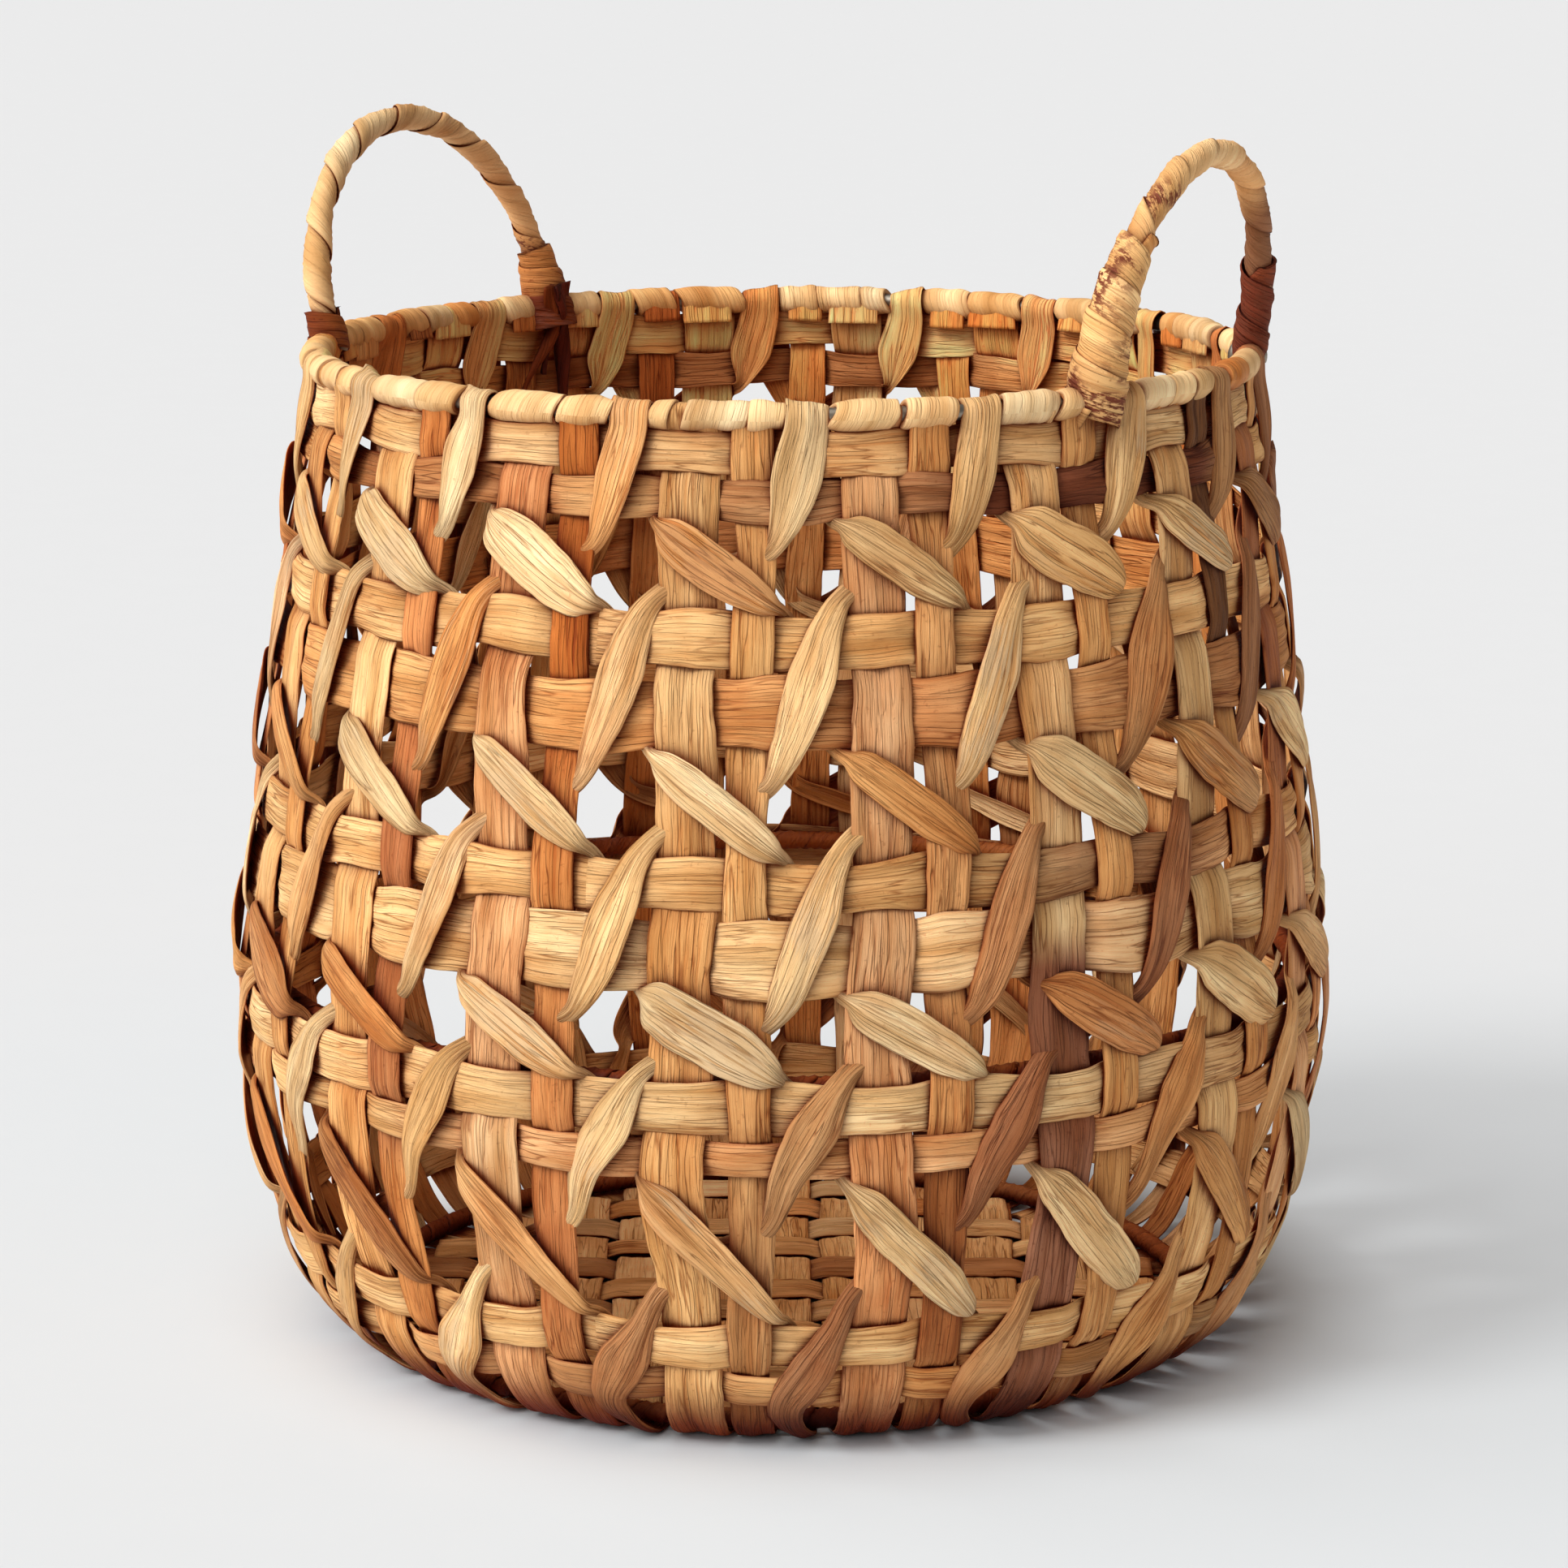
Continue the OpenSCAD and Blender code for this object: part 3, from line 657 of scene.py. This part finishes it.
def leaf_material(name, groove=0.4, fibre=0.3, speck=0.25, bump=1.0, rough=0.6, line=0.6,
                  stain=False, inside=False):
    """Dried leaf: the strip's own tone, ribs, hair lines, cracks, blotches and specks along its grain, with
    painted shade in its crevices and, if asked, painted light on its inner sides near the rim.
    """
    b = Nodes(name)
    uv = b.add("UVMap", _uv_map="grain").outputs[0]
    leaf = b.add("Attribute", _attribute_name="leaf")
    colour, marked = leaf.outputs["Color"], leaf.outputs["Alpha"]
    place = b.add("TexCoord").outputs["Object"]

    def grain(su, sv, detail=2.0, coarse=0.5):
        v = b.add("Mapping", Vector=uv, Scale=(su, sv, 1)).outputs[0]
        noise = b.add("TexNoise", _noise_dimensions="2D", Vector=v, Scale=1.0, Detail=detail, Roughness=coarse)
        return noise.outputs[0]

    broad = grain(12, 110)
    ribs = grain(26, 760, 2.0)
    fine = grain(60, 2300, 3.0, 0.6)
    crack = b.ramp(grain(22, 330, 1.5), [(0.462, 1.0), (0.497, 0.0), (0.532, 1.0)])
    part = b.ramp(grain(18, 60), [(0.40, 0.12), (0.60, 1.0)])
    blotch = b.add("TexNoise", Vector=place, Scale=34.0, Detail=3.0, Roughness=0.6).outputs[0]
    grooves = b.ramp(ribs, [(0.34, 0.0), (0.47, 1.0)])
    hairs = b.ramp(fine, [(0.36, 0.0), (0.46, 1.0)])
    specks = b.add("TexNoise", Vector=place, Scale=560.0, Detail=2.0, Roughness=0.5).outputs[0]
    specks = b.ramp(specks, [(0.66, 0.0), (0.72, 1.0)])
    dark = b.add("Gamma", Color=colour, Gamma=1.5).outputs[0]
    warm = b.tint(dark, 0.86, 0.66, 0.5)
    shade = b.mix(b.ramp(broad, [(0.25, 0.0), (0.75, 1.0)]), (0.86, 0.70, 0.53, 1), (1.29, 1.28, 1.26, 1))
    base = b.mix(1.0, colour, shade, "MULTIPLY")
    base = b.mix(b.without(grooves, part, groove), base, warm)
    base = b.mix(b.without(hairs, fibre), base, warm)
    base = b.mix(b.without(crack, part, line), base, b.tint(warm, 0.55, 0.42, 0.34))
    blotched = b.math("MULTIPLY", b.ramp(blotch, [(0.48, 0.0), (0.68, 1.0)]), 0.5)
    base = b.mix(blotched, base, b.tint(base, 0.8, 0.6, 0.46))
    base = b.mix(b.math("MULTIPLY", specks, speck), base, b.tint(warm, 0.6, 0.45, 0.4))
    if stain:  # dark red-brown streaks, only where the winding asks for them
        spots = b.ramp(grain(230, 620, 4.0, 0.7), [(0.45, 0.0), (0.55, 1.0)])
        marks = b.math("MULTIPLY", spots, b.ramp(grain(45, 110), [(0.36, 0.0), (0.48, 1.0)]))
        mark_colour = (0.30, 0.095, 0.05, 1)
    else:  # pale scuffs
        worn = b.math("ADD", b.math("MULTIPLY", blotch, 0.7), b.math("MULTIPLY", ribs, 0.3))
        marks = b.ramp(worn, [(0.52, 0.0), (0.6, 1.0)])
        mark_colour = (0.88, 0.69, 0.45, 1)
    base = b.mix(b.math("MULTIPLY", marks, marked), base, mark_colour)
    base = b.add("Gamma", Color=base, Gamma=1.22).outputs[0]
    # painted shade: crevices, found by ambient occlusion, are painted darker and redder, standing in for the
    # shade that falls in them
    ao_for_painted_shade = b.add("AmbientOcclusion", _samples=4, Distance=0.024).outputs["AO"]
    base = b.mix(b.ramp(ao_for_painted_shade, [(0.38, 1.0), (0.97, 0.0)]), base, b.tint(base, 0.24, 0.055, 0.014))
    if inside:  # painted light: near the rim, the sides that face the axis are painted lighter than the outside, standing in for the light that falls on the inside of the basket
        outwards = b.add("VectorMath", _operation="MULTIPLY", i0=place, i1=(1, 1, 0)).outputs[0]
        outwards = b.add("VectorMath", _operation="NORMALIZE", i0=outwards).outputs[0]
        normal = b.add("NewGeometry").outputs["Normal"]
        faces = b.add("VectorMath", _operation="DOT_PRODUCT", i0=normal, i1=outwards).outputs["Value"]
        inner = b.ramp(b.math("ADD", b.math("MULTIPLY", faces, 0.5), 0.5), [(0.3, 1.0), (0.46, 0.0)])
        up = b.add("SeparateXYZ", Vector=place).outputs["Z"]
        near_rim = b.add("MapRange", Value=up, i1=0.25, i2=0.30, i3=0.0, i4=1.0).outputs[0]
        base = b.mix(b.math("MULTIPLY", inner, near_rim), base, b.tint(base, 1.4, 1.22, 1.06, clamp=True))
    height = b.math("ADD", b.math("MULTIPLY", grooves, 0.6), b.math("MULTIPLY", fine, 0.6))
    height = b.math("ADD", height, b.math("MULTIPLY", broad, 0.5))
    height = b.math("ADD", height, b.math("MULTIPLY", crack, 0.6))
    normal = b.add("Bump", Strength=bump, Distance=0.0006, Height=height).outputs[0]
    roughness = b.math("ADD", b.math("MULTIPLY", ribs, 0.25), rough - 0.04)
    shader = b.add("BsdfPrincipled", Base__Color=base, Roughness=roughness, Normal=normal)
    shader.inputs["Specular IOR Level"].default_value = 0.14
    b.add("OutputMaterial", Surface=shader.outputs[0])
    return b.m


def wire_material():
    """Dull, spotted hoop steel."""
    b = Nodes("hoop_steel")
    place = b.add("TexCoord").outputs["Object"]
    noise = b.add("TexNoise", Vector=place, Scale=180.0, Detail=4.0, Roughness=0.6).outputs[0]
    colour = b.mix(noise, (0.20, 0.165, 0.125, 1), (0.42, 0.37, 0.30, 1))
    normal = b.add("Bump", Strength=0.4, Distance=0.0002, Height=noise).outputs[0]
    rough = b.math("ADD", b.math("MULTIPLY", noise, 0.3), 0.22)
    shader = b.add("BsdfPrincipled", Base__Color=colour, Roughness=rough, Metallic=0.85, Normal=normal)
    b.add("OutputMaterial", Surface=shader.outputs[0])
    return b.m


# the wall's leaves take painted light on their inner sides near the rim (inside=True)
STAKE = leaf_material("stake_leaf", groove=0.45, speck=0.3, line=0.68, inside=True)
BAND = leaf_material("band_leaf", groove=0.42, speck=0.24, line=0.7, inside=True)
SLANTING = leaf_material("slanting_leaf", groove=0.42, speck=0.24, bump=1.1, line=0.6, inside=True)
BINDING = leaf_material("binding_leaf", groove=0.16, fibre=0.2, speck=0.08, bump=0.6, rough=0.5,
                        line=0.2, stain=True)
FOOT = leaf_material("foot_leaf", groove=0.25, speck=0.5, bump=0.9, line=0.35, stain=True)
STEEL = wire_material()

# ---- every piece -----------------------------------------------------------------------


def patched(c, x, patches):
    """Lays tones over a strip's own: each patch is (start, end, tone, strength) along x."""
    for x0, x1, tone, strength in patches:
        share = strength * np.clip(np.minimum(x - x0, x1 - x) / 12 + 0.5, 0, 1)[:, None]
        c = c * (1 - share) + tone * share
    return c


# strips that stand out for their tone: by height on a stake, by angle on a band
WIDE_PATCH = {2: [(-5, 165, PLUM, 0.8)], 17: [(60, 110, PALE, 0.4)], 4: [(200, 340, BROWN, 0.5)]}
NARROW_PATCH = {
    1: [(30, 110, BROWN, 0.6)], 3: [(230, 345, DARK, 0.75)], 5: [(120, 260, BROWN, 0.7)],
    10: [(240, 345, BROWN, 0.6)], 12: [(250, 345, RED, 0.6)], 16: [(90, 200, ROSE, 0.4)]}
BAND_PATCH = {
    ("top", "low"): [(-14, 16, RED, 0.45), (16, 62, RED, 0.9), (150, 215, RED, 0.6), (-60, -20, ROSE, 0.4)],
    ("upper", "low"): [(40, 75, BROWN, 0.5)],
    ("middle", "high"): [(24, 52, RED, 0.5)],
    ("lower", "low"): [(-40, 60, PINK, 0.5)],
    ("bottom", "low"): [(-30, -5, BROWN, 0.5), (30, 60, RED, 0.4)]}
SLANTING_DARK = {3: 0.45, 4: 0.75, 12: 0.4}
WIDE_TONES = [STRAW, GOLD, TAN, PINK, AMBER], [0.36, 0.36, 0.18, 0.06, 0.04]
NARROW_TONES = [GOLD, TAN, AMBER, PINK, BROWN], [0.37, 0.36, 0.12, 0.09, 0.06]
SLANTING_TONES = [PALE, STRAW, GOLD, TAN, PINK, AMBER], [0.12, 0.3, 0.28, 0.16, 0.08, 0.06]
BAND_TONES = [STRAW, GOLD, TAN, PINK], [0.42, 0.38, 0.14, 0.06]

for i in range(PAIRS):
    b = Build()
    r = rng_of(1, i)
    stake(b, wide_at(i), WIDE_W, False, r,
          lambda u, z: patched(tones(u, r, *WIDE_TONES), z, WIDE_PATCH.get(i, [])), r.uniform(6, 9))
    stake(b, narrow_at(i), NARROW_W, True, r,
          lambda u, z: patched(tones(u, r, *NARROW_TONES), z, NARROW_PATCH.get(i, [])), r.uniform(5, 9))
    b.finish("stakes_%02d" % (i + 1), "stake_pair_%02d" % (i + 1), STAKE)

for i in range(PAIRS):
    b = Build()
    r = rng_of(2, i)
    darkened = [(-99, 9999, BROWN, SLANTING_DARK[i])] if i in SLANTING_DARK else []
    slanting(b, i, r, lambda u: patched(tones(u, r, *SLANTING_TONES, low=50, high=110), u, darkened),
             pale=r.choice([0.0, 0.0, 0.2, 0.5]))
    b.finish("slanting_%02d" % (i + 1), "slanting_strip_%02d" % (i + 1), SLANTING)

ROW_NAMES = ["bottom", "lower", "middle", "upper", "top"]
for row, name in enumerate(ROW_NAMES):
    for half in ("high", "low"):
        b = Build()
        r = rng_of(3, row, half == "high")
        w = UPPER_W[row] if half == "high" else LOWER_W[row]
        z = row_top[row] - w / 2 if half == "high" else row_bottom[row] + w / 2

        def look(u, a):
            c = tones(u, r, *BAND_TONES, low=60, high=120)
            fade = np.clip((u[-1] - u) / 40, 0, 1)[:, None]
            c = c * fade + c[:1] * (1 - fade)
            patches = BAND_PATCH.get((name, half), [])
            return patched(patched(c, a, patches), a - 360, patches)

        band(b, z, w, half == "high", r, look)
        b.finish("band_%s_%s" % (name, half), "%s_row_%s_band" % (name, half), BAND)

# the rim's sleeves, between the strips that hang over it; two or three in each space
b = Build()
for i in range(PAIRS):
    a0, a1 = over_at(i - 1) + half_angle(OVER_W, RIM_Z), over_at(i) - half_angle(OVER_W, RIM_Z)
    if a1 < a0:
        a1 += 360
    r = rng_of(4, i)
    shares = [r.uniform(0.4, 0.65)] if i % 3 else [r.uniform(0.22, 0.4), r.uniform(0.6, 0.8)]
    cuts = [a0] + [a0 + (a1 - a0) * x for x in shares] + [a1]
    for k, (c0, c1) in enumerate(zip(cuts, cuts[1:])):
        r = rng_of(4, i, k + 2)
        bare = r.uniform(0.7, 1.3) if r.random() < 0.22 else 0.0
        tone = [STRAW, GOLD, PALE, TAN][r.choice(4, p=[0.45, 0.27, 0.2, 0.08])] * r.uniform(0.94, 1.04)
        sleeve(b, c0 + 0.03, c1 - 0.03 - bare, r, tone)
b.finish("rim_sleeves", "rim_binding", BINDING)

# the two lower hoops
belly_r = float(wall_r(BELLY_Z)) - SLANT - STRIP_T / 2 - WEAVE_GAP - WIRE_R - WIRE_SPACE - BELLY_BINDING_T
base_hoop_z = STRIP_T + WEAVE_GAP + WIRE_R + WIRE_SPACE + BINDING_T
for node, name, r_, z_, key, weights in (
        ("belly_hoop_binding", "belly_hoop_leaf", belly_r, BELLY_Z, 5, [0.1, 0.3, 0.4, 0.2]),
        ("base_hoop_binding", "base_hoop_leaf", BASE_R, base_hoop_z, 6, [0.3, 0.4, 0.2, 0.1])):
    b = Build()
    r = rng_of(key)
    p, n1, n2, s = ring_path(r_, z_)
    helix(b, p, n1, n2, s, lambda x: np.full_like(x, 2.6), 13, r,
          lambda u: tones(u, r, [TAN, AMBER, BROWN, RED], weights), thick=0.7, step=2.5, shingle=0.35, k=7)
    b.finish(name, node, BINDING)

# the base mat
mat_r = BASE_R - WIRE_R - WIRE_SPACE - BINDING_T - WEAVE_GAP
mat_z = STRIP_T + WEAVE_GAP + LIFT + STRIP_T / 2
mat_side = int((mat_r - MAT_W / 2) // MAT_STEP)
for node, sign in (("base_strips_across", 1), ("base_strips_along", -1)):
    b = Build()
    for kk in range(-mat_side, mat_side + 1):
        r = rng_of(7, kk + 20, sign + 2)
        reach = math.sqrt(mat_r**2 - (abs(kk) * MAT_STEP + MAT_W / 2) ** 2)
        js = [j for j in range(-mat_side, mat_side + 1) if abs(j) * MAT_STEP + MAT_W / 2 < reach]
        xs, ls = [-reach], [0]
        for j in js:
            for sd in (-1, 1):
                xs.append(j * MAT_STEP + sd * MAT_W / 2)
                ls.append(sign * (LIFT if (j + kk) % 2 == 0 else -LIFT))
        xs.append(reach), ls.append(0)
        x = np.arange(-reach, reach, 1.6)
        h = blur(np.interp(x, xs, ls), 1.3)
        y = np.full_like(x, kk * MAT_STEP) + wob(x, r, 0.3, 80, 160)
        pts = np.stack([x, y, mat_z + h], -1) if sign > 0 else np.stack([-y, x, mat_z + h], -1)
        up = np.broadcast_to([0.0, 0.0, 1.0], pts.shape)
        tone = tones(x - x[0], r, [STRAW, GOLD, TAN, BROWN], [0.3, 0.4, 0.2, 0.1])
        strip(b, pts, up, np.full(len(x), MAT_W), r, tone, thick=1.2, bow=0.2, rib=0.2, ragged=0.02)
    b.finish("mat_" + node.split("_")[-1], node, STAKE)

# the handles
handle_half = math.radians(HANDLE_HALF)
arch_r = RIM_R * math.sin(handle_half)


def on_rim(p, side, point=True):
    """Points or directions of a handle's own plane, leaned out and turned to its place on the rim."""
    x, z, lean = p[:, 0], p[:, 2], LEAN[side]
    y = p[:, 1] * math.cos(lean) - z * math.sin(lean)
    z = p[:, 1] * math.sin(lean) + z * math.cos(lean)
    if point:
        y, z = y - RIM_R * math.cos(handle_half), z + RIM_Z
    a = math.radians(HANDLE_AT[side])
    return np.stack([x * math.cos(a) - y * math.sin(a), x * math.sin(a) + y * math.cos(a), z], -1)


def loop_path(side, low):
    """A handle's middle line from one foot to the other, as a path to wind on."""
    up = np.arange(low, LEG, 1.0)
    t = np.radians(np.arange(180, -0.1, -1.5))
    line = np.concatenate([
        np.stack([np.full_like(up, -arch_r), up], -1),
        np.stack([arch_r * np.cos(t), LEG + arch_r * np.sin(t)], -1),
        np.stack([np.full_like(up, arch_r), up[::-1]], -1)])
    seg = np.linalg.norm(np.diff(line, axis=0), axis=1)
    keep = np.concatenate([[True], seg > 1e-6])
    line = line[keep]
    s = np.concatenate([[0], np.cumsum(np.linalg.norm(np.diff(line, axis=0), axis=1))])
    d = unit(np.gradient(line, axis=0))
    n = np.stack([-d[:, 1], d[:, 0]], -1)
    zero = np.zeros(len(line))
    return (on_rim(np.stack([line[:, 0], zero, line[:, 1]], -1), side),
            on_rim(np.stack([n[:, 0], zero, n[:, 1]], -1), side, False),
            on_rim(np.stack([zero, zero + 1, zero], -1), side, False), s)


# each foot: how far up it is bound, its thickness at the rim and above, the wind, its tones
FOOT_LOOK = {
    (0, 0): dict(low=-8.5, reach=56, fat=4.6, top=0.0, pitch=13, pal=[GOLD, STRAW, GOLD, TAN],
                 patches=[], stains=[(2, 24), (38, 54)]),
    (0, 1): dict(low=-3.5, reach=34, fat=0.5, top=-0.5, pitch=15, pal=[RED, BROWN, DARK, ROSE],
                 patches=[], stains=[(3, 34)]),
    (1, 0): dict(low=-7.5, reach=22, fat=4.6, top=0.2, pitch=11, pal=[AMBER, BROWN, RED, BROWN],
                 patches=[(52, 999, TAN, 0.85)], stains=[(0, 15)]),
    (1, 1): dict(low=-3.5, reach=13, fat=1.6, top=0.0, pitch=9, pal=[BROWN, TAN, BROWN, AMBER],
                 patches=[], stains=[(0, 7)])}
# each handle's far end: its tone and how strong it is
FAR_END = [(RED, 0.75), (GOLD, 0.2)]
ARCH_STAINS = [[(60, 70)], [(14, 22)]]
# loose brown strands below the left handle's back foot: turn, reach, width, tone
STRANDS = [(-2.5, 46, 9, RED), (0.6, 24, 6, DARK), (3.2, 33, 7, BROWN)]


def foot_leaf(build, side, end):
    """The thick winding round one foot of a handle."""
    r = rng_of(9, side, end)
    f = FOOT_LOOK[(side, end)]
    q0, a0, b0, s0 = loop_path(side, f["low"])
    if end == 1:
        q0, a0, b0 = q0[::-1], a0[::-1], b0[::-1]
    sel = s0 <= f["reach"] - f["low"]
    q, m1, m2, ss = q0[sel], a0[sel], b0[sel], s0[sel]

    def shape(x):
        taper = np.clip(1 - x / ss[-1], 0, 1) ** 1.15 * (0.8 + 0.2 * np.clip(x / 7, 0, 1))
        return 4.25 + f["top"] + f["fat"] * taper + wob(x, rng_of(91, side, end), 0.12, 12, 30)

    def look(u):
        return patched(tones(u, r, f["pal"], [0.35, 0.25, 0.25, 0.15], low=20, high=50), u, f["patches"])

    helix(build, q, m1, m2, ss, shape, f["pitch"], r, look,
          thick=1.0, shingle=1.2, step=1.4, k=13, hand=1 if end == 0 else -1, stains=f["stains"])


def strand(build, kk, da, reach, w, tone):
    """A loose strand that hangs inside below the left handle's back foot."""
    r = rng_of(92, kk)
    z = np.arange(RIM_Z + 9, RIM_Z - reach, -1.2)
    x = (RIM_Z + 9 - z) / (reach + 9)
    inward = 5.5 + 3.5 * np.sin(x * 2.4)
    ang = FEET[2] + da * (0.3 + 0.7 * x) + wob(z + 500, r, 0.5, 30, 60)
    rr = np.where(z > RIM_Z - 4, RIM_R - 6.5, wall_r(z) - SLANT - 0.5) - inward * 0.4
    mid = turned(np.stack([blur(rr, 3), z], -1), ang)
    nrm = turned(np.stack([-np.ones_like(z), np.zeros_like(z)], -1), ang + 50 * np.sin(x * 7 + kk))
    colour = tones(np.abs(z - z[0]), r, [tone, RED, DARK], [0.6, 0.2, 0.2])
    strip(build, mid, nrm, w * np.clip(1.15 - x, 0.25, 1), r, colour, thick=1.1, bow=1.2, rib=0.3)


for side, name in ((0, "right"), (1, "left")):
    p, n1, n2, s = loop_path(side, 3.0)
    length = s[-1]
    b = Build()
    r = rng_of(8, side)
    far_tone, far_share = FAR_END[side]
    patches = [(0, 60, TAN, 0.3), (length * 0.72, length * 1.2, far_tone, far_share)]
    helix(b, p, n1, n2, s, lambda x: CORE_LEAF_R + wob(x, rng_of(81, side), 0.14, 25, 70), 23, r,
          lambda u: patched(tones(u, r, [STRAW, GOLD, TAN, PALE], [0.4, 0.35, 0.15, 0.1], low=30, high=70),
                            u * length / u[-1], patches),
          thick=0.9, shingle=1.3, step=1.6, k=13, stains=ARCH_STAINS[side])
    b.finish(name + "_handle_leaf", name + "_handle_binding", BINDING)
    b = Build()
    for end in (0, 1):
        foot_leaf(b, side, end)
    if side == 1:
        for kk, values in enumerate(STRANDS):
            strand(b, kk, *values)
    b.finish(name + "_handle_foot_leaf", name + "_handle_foot_binding", FOOT)

for node in ("rim_wire", "belly_hoop_wire", "base_hoop_wire", "right_handle_core", "left_handle_core"):
    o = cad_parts[node]
    o.data.materials.clear()
    o.data.materials.append(STEEL)

# ---- floor, light and camera -----------------------------------------------------------


def plane(name, size):
    """A pale matt floor, with painted light: away from the basket it glows a little."""
    mesh = bpy.data.meshes.new(name)
    corners = [(-size, -size, 0), (size, -size, 0), (size, size, 0), (-size, size, 0)]
    mesh.from_pydata(corners, [], [(0, 1, 2, 3)])
    o = bpy.data.objects.new(name, mesh)
    bpy.context.scene.collection.objects.link(o)
    b = Nodes(name + "_paint")
    place = b.add("TexCoord").outputs["Object"]
    noise = b.add("TexNoise", Vector=place, Scale=30.0, Detail=3.0).outputs[0]
    colour = b.mix(noise, (0.792, 0.792, 0.794, 1), (0.808, 0.808, 0.808, 1))
    # near the basket the floor is a touch cooler, against the warm light that comes off the leaves
    from_middle = b.add("VectorMath", _operation="LENGTH", i0=place).outputs["Value"]
    near = b.add("MapRange", Value=from_middle, i1=0.2, i2=0.62, i3=1.0, i4=0.0).outputs[0]
    colour = b.mix(near, colour, b.tint(colour, 0.93, 0.985, 1.012))
    # painted light: away from the basket the floor glows a little though it is no lamp, and its colour is
    # darkened there to match, so the long shadow stays pale
    painted_glow = b.add("MapRange", Value=from_middle, i1=0.165, i2=0.215, i3=0.0, i4=1.0).outputs[0]
    colour = b.mix(painted_glow, colour, b.tint(colour, 0.69, 0.69, 0.69))
    shader = b.add("BsdfPrincipled", Base__Color=colour, Roughness=0.9)
    shader.inputs["Emission Color"].default_value = (1.0, 1.0, 1.0, 1)
    b.t.links.new(b.math("MULTIPLY", painted_glow, 0.258), shader.inputs["Emission Strength"])
    shader.inputs["Specular IOR Level"].default_value = 0.1
    b.add("OutputMaterial", Surface=shader.outputs[0])
    mesh.materials.append(b.m)
    return o


floor = plane("floor", 30)

scene = bpy.context.scene
world = bpy.data.worlds.new("studio")
scene.world = world
world.use_nodes = True
world.node_tree.nodes["Background"].inputs[0].default_value = (1.0, 1.0, 1.0, 1)
world.node_tree.nodes["Background"].inputs[1].default_value = 0.20


def sun(name, azimuth, elevation, strength, angle):
    light = bpy.data.lights.new(name, "SUN")
    light.energy, light.angle = strength, math.radians(angle)
    o = bpy.data.objects.new(name, light)
    bpy.context.scene.collection.objects.link(o)
    o.rotation_euler = (math.radians(90 - elevation), 0, math.radians(azimuth))


sun("key", -57, 42, 1.5, 20)
sun("soft", -60, 50, 2.2, 90)

# the camera that was fitted to the view: 1.67 m in front, 0.54 m up, tilted down by 12 degrees
camera_data = bpy.data.cameras.new("camera")
camera_data.sensor_width = 36
camera_data.lens = 115.97
camera_data.shift_x = 0.0016
camera = bpy.data.objects.new("camera", camera_data)
scene.collection.objects.link(camera)
camera.location = (0, -1.6736, 0.5388)
camera.rotation_euler = (math.radians(90 - 12.01), 0, 0)
scene.camera = camera
scene.view_settings.view_transform = "Standard"
scene.view_settings.look = "None"
